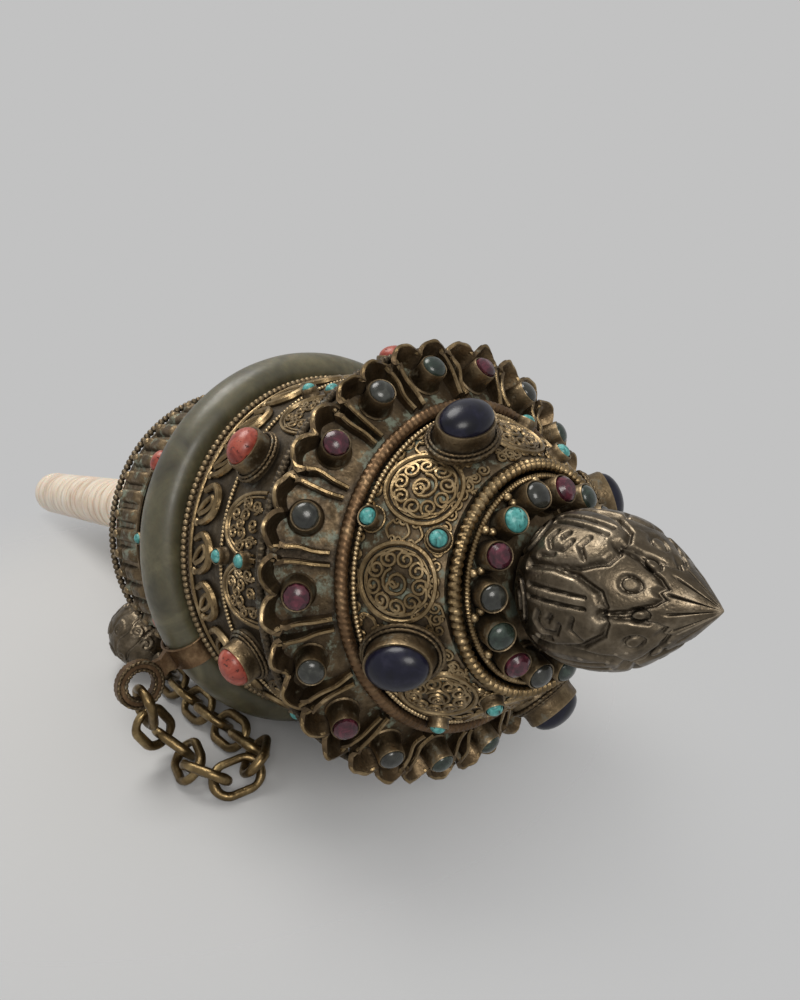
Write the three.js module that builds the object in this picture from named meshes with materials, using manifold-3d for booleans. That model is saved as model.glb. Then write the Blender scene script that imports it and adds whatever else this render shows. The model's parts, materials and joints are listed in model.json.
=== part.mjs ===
// Hand prayer wheel lying on its side: jewelled drum with a lift-off crown lid, on an axle held by a
// stacked shell handle, with a chain and a weight ball that rest on the table.
// Millimetres. +X follows the spin axis towards the finial, seen from above; +Z is up; the origin is
// on the table, at the bottom centre of the bounding box.
import * as THREE from 'three';
import { mergeVertices } from 'three/addons/utils/BufferGeometryUtils.js';
import Module from 'manifold-3d';

const wasm = await Module();
wasm.setup();

// ---- Driving dimensions. Heights run along the spin axis, from the crown's plane to the finial. ----
const GAP = 0.3; // clearance left between touching pieces
const ROUND = 40; // facets round a large ring
const SMALL = 20; // facets round a small piece

const AXLE = { radius: 2, bottom: -240, top: 32 };
const BORE = AXLE.radius + GAP;
const GRIP = { top: -90.3, bottom: -246.8, topRadius: 9.4, bottomRadius: 8.6, rounding: 2.4 };
const FERRULE = { bottom: -90, top: -81.7, radius: 10 };
const WASHER = { bottom: -81.4, top: -80.3, radius: 7 };
const PLUG = { bottom: -248, top: -247.1, radius: 4.2 };

const BARREL = { radius: 32, wall: 1.2, bottom: -76.4, top: -3.2 };
const PLATE = { bottom: -78, top: -76.7, radius: 33.9 };
const BUSH = { radius: 4.5, bottom: -80, top: -74 };
const LOWER = { bottom: -76.2, top: -50.2, radius: 33.7 }; // lower sleeve
const PETALS = { bottom: -75.4, top: -64.4, radius: 35.4 };
const UPPER = { bottom: -33.6, waist: -20.4, top: -2.6, radii: [36.4, 35.7, 34.2] };
const BASE_BEADS = { height: -77.3, radius: 35.3, wire: 0.9 };
// The jade ring is loose on the barrel: slip is how far it has moved away from the chain's side.
const JADE = { height: -42.8, radius: 38.7, halfWidth: 5.7, halfDepth: 4.3, slip: 1.2 };
const JADE_BEADS = { height: -34.5, radius: 36.6, wire: 0.8 };
const SCROLL = { bottom: -72, top: -6, radius: 26 };
const CORE = { radius: 4, bottom: -73, top: 15 };

const CROWN = { radius: 38.2, edge: 0, collar: 29.9, collarHeight: 6.4, sheet: 1.2 };
const SPIGOT = { depth: 5, wall: 1, root: 2.4 }; // the crown's collar that plugs into the barrel
const CROWN_ROPE = { height: -0.2, radius: 39.4, wire: 0.8 };
const COPPER_ROPE = { height: 8.1, radius: 29.3, wire: 1.2 };
const DOME = { sheet: 1.1, outline: [[27.7, 7.4], [26.7, 12.2], [24.1, 17.4], [19.9, 21.9]] };
const THICK_ROPE = { height: 23.4, radius: 19, wire: 1.1 };
const THIN_ROPE = { height: 24.1, radius: 17.1, wire: 0.6 };
const TOP_PLATE = { bottom: 22.6, top: 24.3, radius: 16.1, sheet: 1 };
const TOP_BUSH = { radius: 4, bottom: 20, top: 24.6 };
const FINIAL_OUTLINE = [[5.6, 24.9], [8.6, 26.2], [11.4, 29.2], [12.6, 34.5], [11.6, 41.2], [8.6, 46.4],
  [4.6, 51.2], [1.2, 54.8]];
const FINIAL = { bore: 34, tip: 55.6 };

// Oval stones in cups. seat is the radius where the cup stands, and lean tips it towards the finial.
// They lie round the wheel, except the one numbered endwise, which points at the finial.
const CORAL = {
  count: 6, phase: 49, seat: 35.4, height: -16.5, lean: 5, length: 9, width: 7.4, bezel: 4.6, dome: 2.6,
};
const LAPIS = {
  count: 4, phase: 16.5, seat: 25.15, height: 15.9, lean: 33, length: 12.4, width: 9.4, bezel: 4.4, dome: 3,
  endwise: 2,
};
const CUP = { foot: 0.5, recess: 0.7, footRadius: 0.64, lipOuter: 0.56, lipInner: 0.5, floorRadius: 0.46 };

const CLAMP = {
  angle: 113.46, width: 5, sheet: 0.6, tabWidth: 3.5, tab: 1.5, eyeRadius: 3.9, eyeWire: 1.1, eyeReach: 51.6,
};
const LINK = { length: 12, width: 8.5, wire: 2.3 };
// One [heading, slope] in degrees for each chain link, from the clamp's eye to the ball.
const LINK_ROUTE = [[158, -64], [106, -58], [34, -29], [-14, -1], [28, -4], [80, 6], [143, -4], [184, -1],
  [185, 0], [183, 0], [180, 0], [178, 0], [178, 0]];
const HANGING_LINKS = 2;
const LINK_LEAN = 45; // links on the table lean over to one side and the other in turn
const BALL = { radius: 9.7, ring: 2.9, heading: 180, slope: 25 };
const NECK = { length: 1, root: 1, ringRadius: 1.4, ballRadius: 2.2 }; // root is how far each end sinks in

// The wheel lies on the jade ring and the end of the handle, which sets its tilt and height.
const tilt = Math.atan2(JADE.radius + JADE.halfDepth - GRIP.bottomRadius,
  JADE.height - GRIP.bottom - GRIP.rounding);
const jadeReach = Math.hypot(JADE.halfWidth * Math.sin(tilt), JADE.halfDepth * Math.cos(tilt));
const crownHeight = JADE.radius * Math.cos(tilt) + jadeReach - JADE.height * Math.sin(tilt);

// ---- Materials ----
function metal(color, roughness) {
  return new THREE.MeshStandardMaterial({ color, roughness, metalness: 1 });
}
function plain(color, roughness) {
  return new THREE.MeshStandardMaterial({ color, roughness, metalness: 0 });
}
const looks = {
  bronze: () => metal(0x6d5c40, 0.5),
  gilt: () => metal(0x9c8048, 0.42),
  copper: () => metal(0x8a5636, 0.5),
  pewter: () => metal(0x87807a, 0.38),
  steel: () => metal(0x8d8d8d, 0.35),
  jade: () => plain(0x6c6f5c, 0.2),
  shell: () => plain(0xd8c8b4, 0.4),
  coral: () => plain(0xb5543f, 0.35),
  lapis: () => plain(0x23253c, 0.25),
  paper: () => plain(0xc9b48c, 0.9),
};

// ---- Geometry helpers ----
function faceOut(geometry) {
  const welded = weld(geometry);
  const index = welded.index.array;
  const corner = new THREE.Vector3();
  const [a, b, c] = [new THREE.Vector3(), new THREE.Vector3(), new THREE.Vector3()];
  let volume = 0;
  for (let i = 0; i < index.length; i += 3) {
    [a, b, c].forEach((v, k) => v.fromBufferAttribute(welded.attributes.position, index[i + k]));
    volume += a.dot(corner.crossVectors(b, c));
  }
  if (volume < 0) {
    for (let i = 0; i < index.length; i += 3) {
      [index[i], index[i + 1]] = [index[i + 1], index[i]];
    }
  }
  return welded;
}

function weld(geometry) {
  const bare = geometry.clone();
  bare.deleteAttribute('normal');
  bare.deleteAttribute('uv');
  const merged = mergeVertices(bare, 1e-4);
  const kept = [];
  const index = merged.index.array;
  for (let i = 0; i < index.length; i += 3) {
    const [a, b, c] = [index[i], index[i + 1], index[i + 2]];
    if (a !== b && b !== c && c !== a) kept.push(a, b, c);
  }
  merged.setIndex(kept);
  return merged;
}

// A solid of revolution about +Z from [radius, height] points.
function turned(points, facets = ROUND) {
  const profile = points.map(([radius, height]) => new THREE.Vector2(radius, height));
  return faceOut(new THREE.LatheGeometry(profile, facets).rotateX(Math.PI / 2));
}

// A ring of revolution whose section is a closed outline.
function turnedRing(points, facets = ROUND) {
  return turned([...points, points[0]], facets);
}

function tube(inner, outer, bottom, top, facets = ROUND) {
  return turnedRing([[inner, bottom], [outer, bottom], [outer, top], [inner, top]], facets);
}

function wireRing({ radius, wire, height }, facets = ROUND) {
  return faceOut(new THREE.TorusGeometry(radius, wire, 5, facets).translate(0, 0, height));
}

function ellipsePoints(centre, half, count) {
  return Array.from({ length: count }, (_, i) => {
    const turn = (2 * Math.PI * i) / count;
    return [centre[0] + half[0] * Math.cos(turn), centre[1] + half[1] * Math.sin(turn)];
  });
}

// A round wire bent into a stadium in the XZ plane, from the origin up the Z axis: the origin is the
// centre of the wire's near end, and the far end is one length less one wire above it.
function linkGeometry(length, width, wire, bendSteps = 6, sides = 6) {
  const bend = (width - wire) / 2;
  const straight = length - width;
  const positions = [];
  const index = [];
  const rows = 2 * (bendSteps + 1);
  for (let row = 0; row < rows; row += 1) {
    const far = row <= bendSteps;
    const turn = (Math.PI * (far ? row : row - 1)) / bendSteps;
    for (let k = 0; k < sides; k += 1) {
      const round = (2 * Math.PI * k) / sides;
      const reach = bend + (wire / 2) * Math.cos(round);
      const height = bend + (far ? straight : 0) + reach * Math.sin(turn);
      positions.push(reach * Math.cos(turn), (wire / 2) * Math.sin(round), height);
      const [nextRow, nextSide] = [((row + 1) % rows) * sides, (k + 1) % sides];
      index.push(row * sides + k, nextRow + k, nextRow + nextSide);
      index.push(row * sides + k, nextRow + nextSide, row * sides + nextSide);
    }
  }
  const geometry = new THREE.BufferGeometry();
  geometry.setAttribute('position', new THREE.Float32BufferAttribute(positions, 3));
  geometry.setIndex(index);
  return faceOut(geometry);
}

function toSolid(geometry) {
  const welded = faceOut(geometry);
  return new wasm.Manifold(new wasm.Mesh({
    numProp: 3,
    vertProperties: new Float32Array(welded.attributes.position.array),
    triVerts: new Uint32Array(welded.index.array),
  }));
}

function joined(...geometries) {
  const mesh = geometries.map(toSolid).reduce((sum, solid) => sum.add(solid)).getMesh();
  const geometry = new THREE.BufferGeometry();
  geometry.setAttribute('position', new THREE.BufferAttribute(mesh.vertProperties, 3));
  geometry.setIndex(new THREE.BufferAttribute(mesh.triVerts, 1));
  return geometry;
}

function addPart(group, name, geometry, look) {
  const mesh = new THREE.Mesh(geometry, looks[look]());
  mesh.name = name;
  group.add(mesh);
  return mesh;
}

// ---- Handle and axle ----
function addHandle(wheel) {
  const { top, bottom, topRadius, bottomRadius, rounding } = GRIP;
  const shoulder = rounding * 0.3;
  const grip = [[BORE, bottom], [bottomRadius - rounding, bottom],
    [bottomRadius - shoulder, bottom + shoulder], [bottomRadius, bottom + rounding], [topRadius, top],
    [BORE, top]];
  addPart(wheel, 'axle_rod', turned([[0, AXLE.bottom], [AXLE.radius, AXLE.bottom],
    [AXLE.radius, AXLE.top], [0, AXLE.top]], SMALL), 'steel');
  addPart(wheel, 'handle_grip', turnedRing(grip), 'shell');
  addPart(wheel, 'handle_ferrule', tube(BORE, FERRULE.radius, FERRULE.bottom, FERRULE.top, 32), 'gilt');
  addPart(wheel, 'thrust_washer', tube(BORE, WASHER.radius, WASHER.bottom, WASHER.top, 24), 'gilt');
  addPart(wheel, 'butt_plug', turned([[0, PLUG.bottom], [PLUG.radius, PLUG.bottom],
    [PLUG.radius, PLUG.top], [0, PLUG.top]], SMALL), 'gilt');
}

function addFinial(wheel) {
  const outline = [[0, FINIAL.bore], [BORE, FINIAL.bore], [BORE, FINIAL_OUTLINE[0][1]], ...FINIAL_OUTLINE,
    [0, FINIAL.tip]];
  addPart(wheel, 'finial', turned(outline, 32), 'pewter');
}

// ---- Drum ----
function addDrum(wheel) {
  const { radius, wall, bottom, top } = BARREL;
  const [low, middle, high] = UPPER.radii;
  const sleeveBore = radius + GAP;
  addPart(wheel, 'base_plate', tube(BUSH.radius + GAP, PLATE.radius, PLATE.bottom, PLATE.top), 'bronze');
  addPart(wheel, 'base_bead_rim', wireRing(BASE_BEADS), 'bronze');
  addPart(wheel, 'base_bush', tube(BORE, BUSH.radius, BUSH.bottom, BUSH.top, SMALL), 'gilt');
  addPart(wheel, 'barrel', tube(radius - wall, radius, bottom, top), 'copper');
  addPart(wheel, 'lower_sleeve', tube(sleeveBore, LOWER.radius, LOWER.bottom, LOWER.top), 'bronze');
  addPart(wheel, 'petal_band', tube(LOWER.radius + GAP, PETALS.radius, PETALS.bottom, PETALS.top), 'bronze');
  const bangle = turnedRing(ellipsePoints([JADE.radius, JADE.height], [JADE.halfDepth, JADE.halfWidth], 12));
  bangle.rotateZ(Math.PI / ROUND).translate(0, -JADE.slip, 0); // one facet faces the table
  addPart(wheel, 'jade_ring', bangle, 'jade');
  addPart(wheel, 'jade_bead_ring', wireRing(JADE_BEADS), 'bronze');
  addPart(wheel, 'upper_sleeve', turnedRing([[sleeveBore, UPPER.bottom], [low - 0.4, UPPER.bottom],
    [middle, UPPER.waist], [high, UPPER.top], [sleeveBore, UPPER.top]]), 'bronze');
  addPart(wheel, 'core_tube', tube(BORE, CORE.radius, BUSH.top + GAP, CORE.top, SMALL), 'gilt');
  const scroll = tube(CORE.radius + GAP, SCROLL.radius, SCROLL.bottom, SCROLL.top, 32);
  addPart(wheel, 'mantra_scroll', scroll, 'paper');
}

// The strap goes right round the jade ring, and its joined ends carry an eye for the chain. Like the
// ring, it is centred one slip away from the spin axis.
function addClamp(wheel) {
  const inner = [JADE.halfDepth + GAP, JADE.halfWidth + GAP];
  const outer = inner.map((half) => half + CLAMP.sheet);
  const outline = (half) => ellipsePoints([0, 0], half, 20).map(([x, y]) => new THREE.Vector2(x, y));
  const shape = new THREE.Shape(outline(outer));
  shape.holes.push(new THREE.Path(outline(inner)));
  const strap = new THREE.ExtrudeGeometry(shape, { depth: CLAMP.width, bevelEnabled: false });
  strap.translate(0, 0, -CLAMP.width / 2).rotateX(Math.PI / 2).translate(JADE.radius, 0, 0);
  const tabStart = JADE.radius + outer[0] - CLAMP.sheet / 2;
  const tabEnd = CLAMP.eyeReach - CLAMP.eyeRadius + CLAMP.eyeWire / 2;
  const tab = new THREE.BoxGeometry(tabEnd - tabStart, CLAMP.tabWidth, CLAMP.tab);
  tab.translate((tabStart + tabEnd) / 2, 0, 0);
  const eye = new THREE.TorusGeometry(CLAMP.eyeRadius, CLAMP.eyeWire, 8, 24);
  eye.translate(CLAMP.eyeReach, 0, 0);
  const clamp = addPart(wheel, 'ring_clamp', joined(strap, tab, eye), 'copper');
  clamp.position.set(0, -JADE.slip, JADE.height);
  clamp.rotation.z = THREE.MathUtils.degToRad(CLAMP.angle);
}

// Outlines of a cup and its stone: shares of the oval's size across, and heights above the seat.
function cupOutline({ bezel }) {
  const floor = bezel - CUP.recess;
  return [[0, CUP.foot], [CUP.footRadius, CUP.foot], [CUP.lipOuter, bezel], [CUP.lipInner, bezel],
    [CUP.floorRadius, floor], [0, floor]];
}

function stoneOutline({ bezel, dome }) {
  const foot = bezel - CUP.recess + GAP;
  return [[0, foot], [0.42, foot], [0.43, bezel + dome * 0.35], [0.3, bezel + dome * 0.8], [0, bezel + dome]];
}

// A row of cups and stones round the wheel. In a seat's own frame +Z stands out from the surface.
function addCabochons(wheel, name, row, look) {
  for (let i = 0; i < row.count; i += 1) {
    const turnTable = new THREE.Group();
    turnTable.rotation.z = THREE.MathUtils.degToRad(row.phase + (360 / row.count) * i);
    const seat = new THREE.Group();
    seat.position.set(row.seat, 0, row.height);
    seat.rotation.y = Math.PI / 2 - THREE.MathUtils.degToRad(row.lean);
    turnTable.add(seat);
    wheel.add(turnTable);
    const size = row.endwise === i + 1 ? [row.length, row.width, 1] : [row.width, row.length, 1];
    const cup = turned(cupOutline(row), SMALL).scale(...size);
    const stone = turned(stoneOutline(row), SMALL).scale(...size);
    addPart(seat, `${name}_bezel_${i + 1}`, cup, 'gilt');
    addPart(seat, `${name}_${i + 1}`, stone, look);
  }
}

// ---- Lid ----
function addLid(wheel) {
  const { radius, edge, collar, collarHeight, sheet } = CROWN;
  const spigotOuter = BARREL.radius - BARREL.wall - GAP;
  const spigotInner = spigotOuter - SPIGOT.wall;
  const spigotEnd = BARREL.top - SPIGOT.depth;
  const crown = [[radius, edge], [collar, collarHeight], [spigotInner, collarHeight],
    [spigotInner, spigotEnd], [spigotOuter, spigotEnd], [spigotOuter, collarHeight - SPIGOT.root],
    [radius - sheet / 3, edge - sheet]];
  addPart(wheel, 'crown_flange', turnedRing(crown), 'bronze');
  addPart(wheel, 'crown_rope_rim', wireRing(CROWN_ROPE), 'bronze');
  addPart(wheel, 'copper_rope_ring', wireRing(COPPER_ROPE), 'copper');
  const inside = DOME.outline.map(([r, h]) => [r - DOME.sheet, h - DOME.sheet / 3]).reverse();
  addPart(wheel, 'dome', turnedRing([...DOME.outline, ...inside]), 'bronze');
  addPart(wheel, 'thick_rope_ring', wireRing(THICK_ROPE), 'gilt');
  addPart(wheel, 'thin_rope_ring', wireRing(THIN_ROPE, 36), 'gilt');
  addPart(wheel, 'top_plate', turnedRing([[TOP_BUSH.radius + GAP, TOP_PLATE.top - TOP_PLATE.sheet],
    [TOP_PLATE.radius, TOP_PLATE.bottom], [TOP_PLATE.radius, TOP_PLATE.bottom + TOP_PLATE.sheet],
    [TOP_BUSH.radius + GAP, TOP_PLATE.top]], 36), 'bronze');
  addPart(wheel, 'top_bush', tube(BORE, TOP_BUSH.radius, TOP_BUSH.bottom, TOP_BUSH.top, SMALL), 'gilt');
}

// ---- Chain and weight ball ----
function headingVector(heading, slope) {
  const [turn, rise] = [heading, slope].map(THREE.MathUtils.degToRad);
  return new THREE.Vector3(Math.cos(rise) * Math.cos(turn), Math.cos(rise) * Math.sin(turn), Math.sin(rise));
}

// Hangs a piece in the wire of the piece before it. The piece's own end wire crosses that wire, and
// both touch across the gap along the common normal. Local Z runs along the chain, and local X is
// the direction of the end wire. Returns the centre of the piece's near end wire.
function hang(piece, wire, along, side) {
  const normal = new THREE.Vector3().crossVectors(along, side);
  const contact = new THREE.Vector3().crossVectors(wire.axis, side).normalize();
  if (contact.dot(along) < 0) contact.negate();
  const nearEnd = wire.centre.clone().addScaledVector(contact, -(LINK.wire + GAP));
  piece.quaternion.setFromRotationMatrix(new THREE.Matrix4().makeBasis(side, normal, along));
  piece.position.copy(nearEnd);
}

// The direction of a link's end wire: square to the link, leaning over from the given reference.
function endWire(along, reference, lean) {
  const side = reference.clone().addScaledVector(along, -reference.dot(along)).normalize();
  return side.applyAxisAngle(along, THREE.MathUtils.degToRad(lean));
}

function addChain(table, eye) {
  const wire = { centre: eye, axis: new THREE.Vector3(0, 1, 0) };
  const wheelAxis = headingVector(0, THREE.MathUtils.radToDeg(tilt));
  const up = new THREE.Vector3(0, 0, 1);
  LINK_ROUTE.forEach(([heading, slope], i) => {
    const along = headingVector(heading, slope);
    const hanging = i < HANGING_LINKS;
    const side = endWire(along, hanging ? wheelAxis : up, (hanging ? 0 : LINK_LEAN) + (i % 2) * 90);
    const link = addPart(table, `chain_link_${String(i + 1).padStart(2, '0')}`,
      linkGeometry(LINK.length, LINK.width, LINK.wire), 'gilt');
    hang(link, wire, along, side);
    wire.centre = link.position.clone().addScaledVector(along, LINK.length - LINK.wire);
    wire.axis = side;
  });
  addBall(table, wire, endWire(headingVector(BALL.heading, 0), up, LINK_LEAN + 90));
}

// The ball is cast with a neck and a ring that hangs in the last link, and it rests on the table.
function addBall(table, wire, side) {
  const toBall = 2 * BALL.ring + NECK.length + BALL.radius;
  const ring = new THREE.TorusGeometry(BALL.ring, LINK.wire / 2, 8, 20);
  ring.rotateX(Math.PI / 2).translate(0, 0, BALL.ring);
  const neck = new THREE.CylinderGeometry(NECK.ballRadius, NECK.ringRadius, NECK.length + 2 * NECK.root, 12);
  neck.rotateX(Math.PI / 2).translate(0, 0, 2 * BALL.ring + NECK.length / 2 + NECK.root / 2);
  const sphere = new THREE.SphereGeometry(BALL.radius, 24, 16).rotateX(Math.PI / 2).translate(0, 0, toBall);
  const ball = addPart(table, 'weight_ball', joined(ring, neck, sphere), 'pewter');
  const along = headingVector(BALL.heading, BALL.slope);
  hang(ball, wire, along, endWire(along, side, 0));
}

// ---- Assembly ----
const wheel = new THREE.Group();
addHandle(wheel);
addFinial(wheel);
addDrum(wheel);
addClamp(wheel);
addCabochons(wheel, 'coral', CORAL, 'coral');
addLid(wheel);
addCabochons(wheel, 'lapis', LAPIS, 'lapis');
wheel.quaternion.setFromRotationMatrix(new THREE.Matrix4().makeBasis(
  new THREE.Vector3(-Math.sin(tilt), 0, Math.cos(tilt)),
  new THREE.Vector3(0, -1, 0),
  new THREE.Vector3(Math.cos(tilt), 0, Math.sin(tilt)),
));
wheel.position.z = crownHeight;
wheel.updateMatrixWorld(true);

const clampTurn = THREE.MathUtils.degToRad(CLAMP.angle);
const eye = new THREE.Vector3(CLAMP.eyeReach * Math.cos(clampTurn) - CLAMP.eyeRadius,
  CLAMP.eyeReach * Math.sin(clampTurn) - JADE.slip, JADE.height).applyMatrix4(wheel.matrixWorld);
const table = new THREE.Group();
addChain(table, eye);

const prayerWheel = new THREE.Group();
prayerWheel.add(wheel, table);
const box = new THREE.Box3().setFromObject(prayerWheel, true);
prayerWheel.position.set(-(box.min.x + box.max.x) / 2, -(box.min.y + box.max.y) / 2, -box.min.z);
prayerWheel.updateMatrixWorld(true);

export default prayerWheel;
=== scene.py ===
"""Looks of the hand prayer wheel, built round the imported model.

Ornament is drawn in millimetres in the wheel's own frame: +Z runs up the spin axis, zero is the
crown's plane, and angles in degrees start at the top of the wheel and run towards the chain's side.
"""

import json
import math

import bpy
import numpy as np
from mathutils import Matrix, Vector


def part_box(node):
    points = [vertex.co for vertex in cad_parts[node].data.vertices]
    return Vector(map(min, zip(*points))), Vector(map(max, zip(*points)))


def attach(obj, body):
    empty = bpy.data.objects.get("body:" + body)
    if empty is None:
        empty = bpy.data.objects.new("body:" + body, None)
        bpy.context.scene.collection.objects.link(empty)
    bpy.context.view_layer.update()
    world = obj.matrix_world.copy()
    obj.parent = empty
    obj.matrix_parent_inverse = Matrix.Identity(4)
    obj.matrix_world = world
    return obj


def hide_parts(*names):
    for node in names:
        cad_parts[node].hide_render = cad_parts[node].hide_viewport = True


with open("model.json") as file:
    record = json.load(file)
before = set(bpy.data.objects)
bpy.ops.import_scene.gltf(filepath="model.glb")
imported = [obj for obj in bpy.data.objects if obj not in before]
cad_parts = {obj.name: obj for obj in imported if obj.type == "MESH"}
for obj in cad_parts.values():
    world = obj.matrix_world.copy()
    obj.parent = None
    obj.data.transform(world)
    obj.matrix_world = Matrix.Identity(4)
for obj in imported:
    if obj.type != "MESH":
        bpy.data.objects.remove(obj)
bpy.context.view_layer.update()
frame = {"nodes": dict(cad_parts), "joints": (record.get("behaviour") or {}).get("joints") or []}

MM = 0.001
ROUND = 180  # steps round a large ring
POLE = 0.01  # radius at which a turned shape closes on its axis
TAU = 2 * math.pi

# ---- The wheel's frame, from the joint that the drum spins on ----
spin = next(joint for joint in frame["joints"] if joint["name"] == "drum_spin")
CENTRE = np.array(spin["pos_m"])
AXIS = np.array(spin["axis"])
TOP = np.array([-AXIS[2], 0.0, AXIS[0]])
WHEEL = np.array([TOP, np.cross(AXIS, TOP), AXIS])  # rows: angle 0, angle 90, up the axis


def node_points(name):
    """A CAD node's vertices, in metres."""
    return np.array([vertex.co[:] for vertex in frame["nodes"][name].data.vertices])


def wheel_points(name):
    """A CAD node's vertices in the wheel's frame, in millimetres."""
    return (node_points(name) - CENTRE) @ WHEEL.T / MM


def meridian(name):
    """A CAD node's vertices as (radius, height) in the wheel's frame."""
    local = wheel_points(name)
    return np.stack([np.hypot(local[:, 0], local[:, 1]), local[:, 2]], 1)


class Span:
    """How far a CAD ring reaches: inner and outer radius, bottom and top."""

    def __init__(self, name):
        points = meridian(name)
        self.inner, self.bottom = points.min(0)
        self.outer, self.top = points.max(0)
        self.height = (self.bottom + self.top) / 2
        self.radius = (self.inner + self.outer) / 2


def outer_line(name):
    """The outline of a CAD shell on its outer side, from bottom to top."""
    points = np.unique(meridian(name).round(2), axis=0)
    kept = [p for p in points if not any(q[0] > p[0] + 0.1 and abs(q[1] - p[1]) < 0.9 for q in points)]
    line = []
    for point in sorted(kept, key=lambda p: p[1]):
        if not line or abs(point[1] - line[-1][1]) > 0.05:
            line.append(point)
    return line


# ---- Mesh code ----
class Pile:
    """Points and faces that become one piece."""

    def __init__(self):
        self.points = []
        self.faces = []
        self.count = 0

    def add(self, points, faces):
        points = np.asarray(points, float).reshape(-1, 3)
        self.points.append(points)
        self.faces.extend((np.asarray(face) + self.count).tolist() for face in faces)
        self.count += len(points)
        return self


def grid_faces(rows, columns, wrap_rows=False, wrap_columns=True):
    """Quads over a grid of points, rows by columns."""
    row, column = np.meshgrid(
        np.arange(rows if wrap_rows else rows - 1),
        np.arange(columns if wrap_columns else columns - 1), indexing="ij")
    next_row, next_column = (row + 1) % rows, (column + 1) % columns
    corners = [row * columns + column, row * columns + next_column,
               next_row * columns + next_column, next_row * columns + column]
    return np.stack(corners, -1).reshape(-1, 4).tolist()


def turns(count):
    """Evenly spaced angles round a circle, in radians."""
    return np.arange(count) * TAU / count


def compass(angle):
    """The directions away from the spin axis and round it at an angle in radians."""
    away = np.array([math.cos(angle), math.sin(angle), 0.0])
    return away, np.array([-away[1], away[0], 0.0])


def frame_of(across, out, place):
    """A 4 by 4 frame at place: X across, Z out, and Y square to both."""
    matrix = np.eye(4)
    matrix[:3, :3] = np.stack([across, np.cross(out, across), out], 1)
    matrix[:3, 3] = place
    return matrix


def unit(vectors):
    return vectors / np.maximum(np.linalg.norm(vectors, axis=-1, keepdims=True), 1e-9)


def smooth_line(points, count=40):
    """A Catmull-Rom curve through points, evenly stepped by control point."""
    points = np.asarray(points, float)
    padded = np.vstack([2 * points[0] - points[1], points, 2 * points[-1] - points[-2]])
    at = np.linspace(0, len(points) - 1, count)
    index = np.minimum(at.astype(int), len(points) - 2)
    t = (at - index)[:, None]
    a, b, c, d = (padded[index + k] for k in range(4))
    return 0.5 * (2 * b + (c - a) * t + (2 * a - 5 * b + 4 * c - d) * t**2 + (3 * b - a - 3 * c + d) * t**3)


def sweep(pile, path, up, outline, closed=False):
    """Sweeps a closed outline of (side, up) points along path; outline may differ from step to step."""
    path = np.asarray(path, float)
    up = np.broadcast_to(up, path.shape)
    ahead = np.roll(path, -1, 0) - np.roll(path, 1, 0) if closed else np.gradient(path, axis=0)
    side = unit(np.cross(unit(ahead), up))
    lift = unit(np.cross(side, unit(ahead)))
    outline = np.broadcast_to(outline, (len(path),) + np.shape(outline)[-2:])
    points = path[:, None] + outline[..., :1] * side[:, None] + outline[..., 1:] * lift[:, None]
    steps, sides = points.shape[:2]
    faces = grid_faces(steps, sides, wrap_rows=closed)
    if not closed:
        faces.append(list(range(sides))[::-1])
        faces.append(list(range((steps - 1) * sides, steps * sides)))
    return pile.add(points, faces)


def stretched(corners, width, height):
    """Outlines for sweep: corners times the width and height of each step along the path."""
    return np.asarray(corners, float)[None] * np.stack(np.broadcast_arrays(width, height), -1)[:, None]


def circle_outline(radius, sides=6):
    """Outline of a round wire. radius is one number, or one for each step along the wire."""
    turn = turns(sides)
    return np.stack([np.cos(turn), np.sin(turn)], -1) * np.reshape(radius, (-1, 1, 1))


def wire(pile, path, up, radius, sides=6, closed=False):
    return sweep(pile, path, up, circle_outline(radius, sides), closed)


def loop(middle, half, first, second, count):
    """An oval path: half gives its half sizes along the directions first and second."""
    turn = turns(count)
    return middle + half[0] * np.outer(np.cos(turn), first) + half[1] * np.outer(np.sin(turn), second)


def around(radius, height, count=ROUND):
    """Points on a circle round the spin axis, and their outward directions."""
    turn = turns(count)
    out = np.stack([np.cos(turn), np.sin(turn), np.zeros(count)], 1)
    return out * radius + [0, 0, height], out


def rope(pile, path, up, radius, pitch, closed=True, strands=2, sides=10, depth=0.28):
    """A wire of twisted strands."""
    length = np.linalg.norm(np.diff(path, axis=0), axis=1).sum()
    twists = max(1, round(length / (pitch * strands)))
    along = turns(len(path)) * twists
    turn = turns(sides)
    ridge = np.abs(np.cos(strands * (turn[None] - along[:, None]) / 2))
    reach = radius * (1 - depth + depth * ridge)
    outline = np.stack([np.cos(turn), np.sin(turn)], -1)[None] * reach[..., None]
    return sweep(pile, path, up, outline, closed)


def ring_rope(pile, radius, height, thick, pitch, **options):
    steps = int(TAU * radius / pitch * 4)
    path, out = around(radius, height, steps)
    return rope(pile, path, out, thick, pitch, **options)


def ring_wire(pile, radius, height, thick, sides=8):
    path, out = around(radius, height)
    return wire(pile, path, out, thick, sides, closed=True)


def ball(pile, centre, radius, rings=6, sides=9, squash=1.0, up=(0, 0, 1)):
    """A small sphere, or a flattened one that stands along up."""
    up = unit(np.asarray(up, float))
    side = unit(np.cross(up, [0.31, 0.95, 0.07]))
    third = np.cross(up, side)
    rise = np.linspace(-math.pi / 2, math.pi / 2, rings + 1)[1:-1]
    turn = turns(sides)
    flat = np.cos(rise)[:, None, None] * (np.cos(turn)[:, None] * side + np.sin(turn)[:, None] * third)
    points = centre + radius * (flat + squash * np.sin(rise)[:, None, None] * up)
    rows = len(rise)
    ends = np.array([centre - radius * squash * up, centre + radius * squash * up])
    faces = grid_faces(rows, sides)
    last = (rows - 1) * sides
    faces += [[(k + 1) % sides, k, rows * sides] for k in range(sides)]
    faces += [[last + k, last + (k + 1) % sides, rows * sides + 1] for k in range(sides)]
    return pile.add(np.vstack([points.reshape(-1, 3), ends]), faces)


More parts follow.
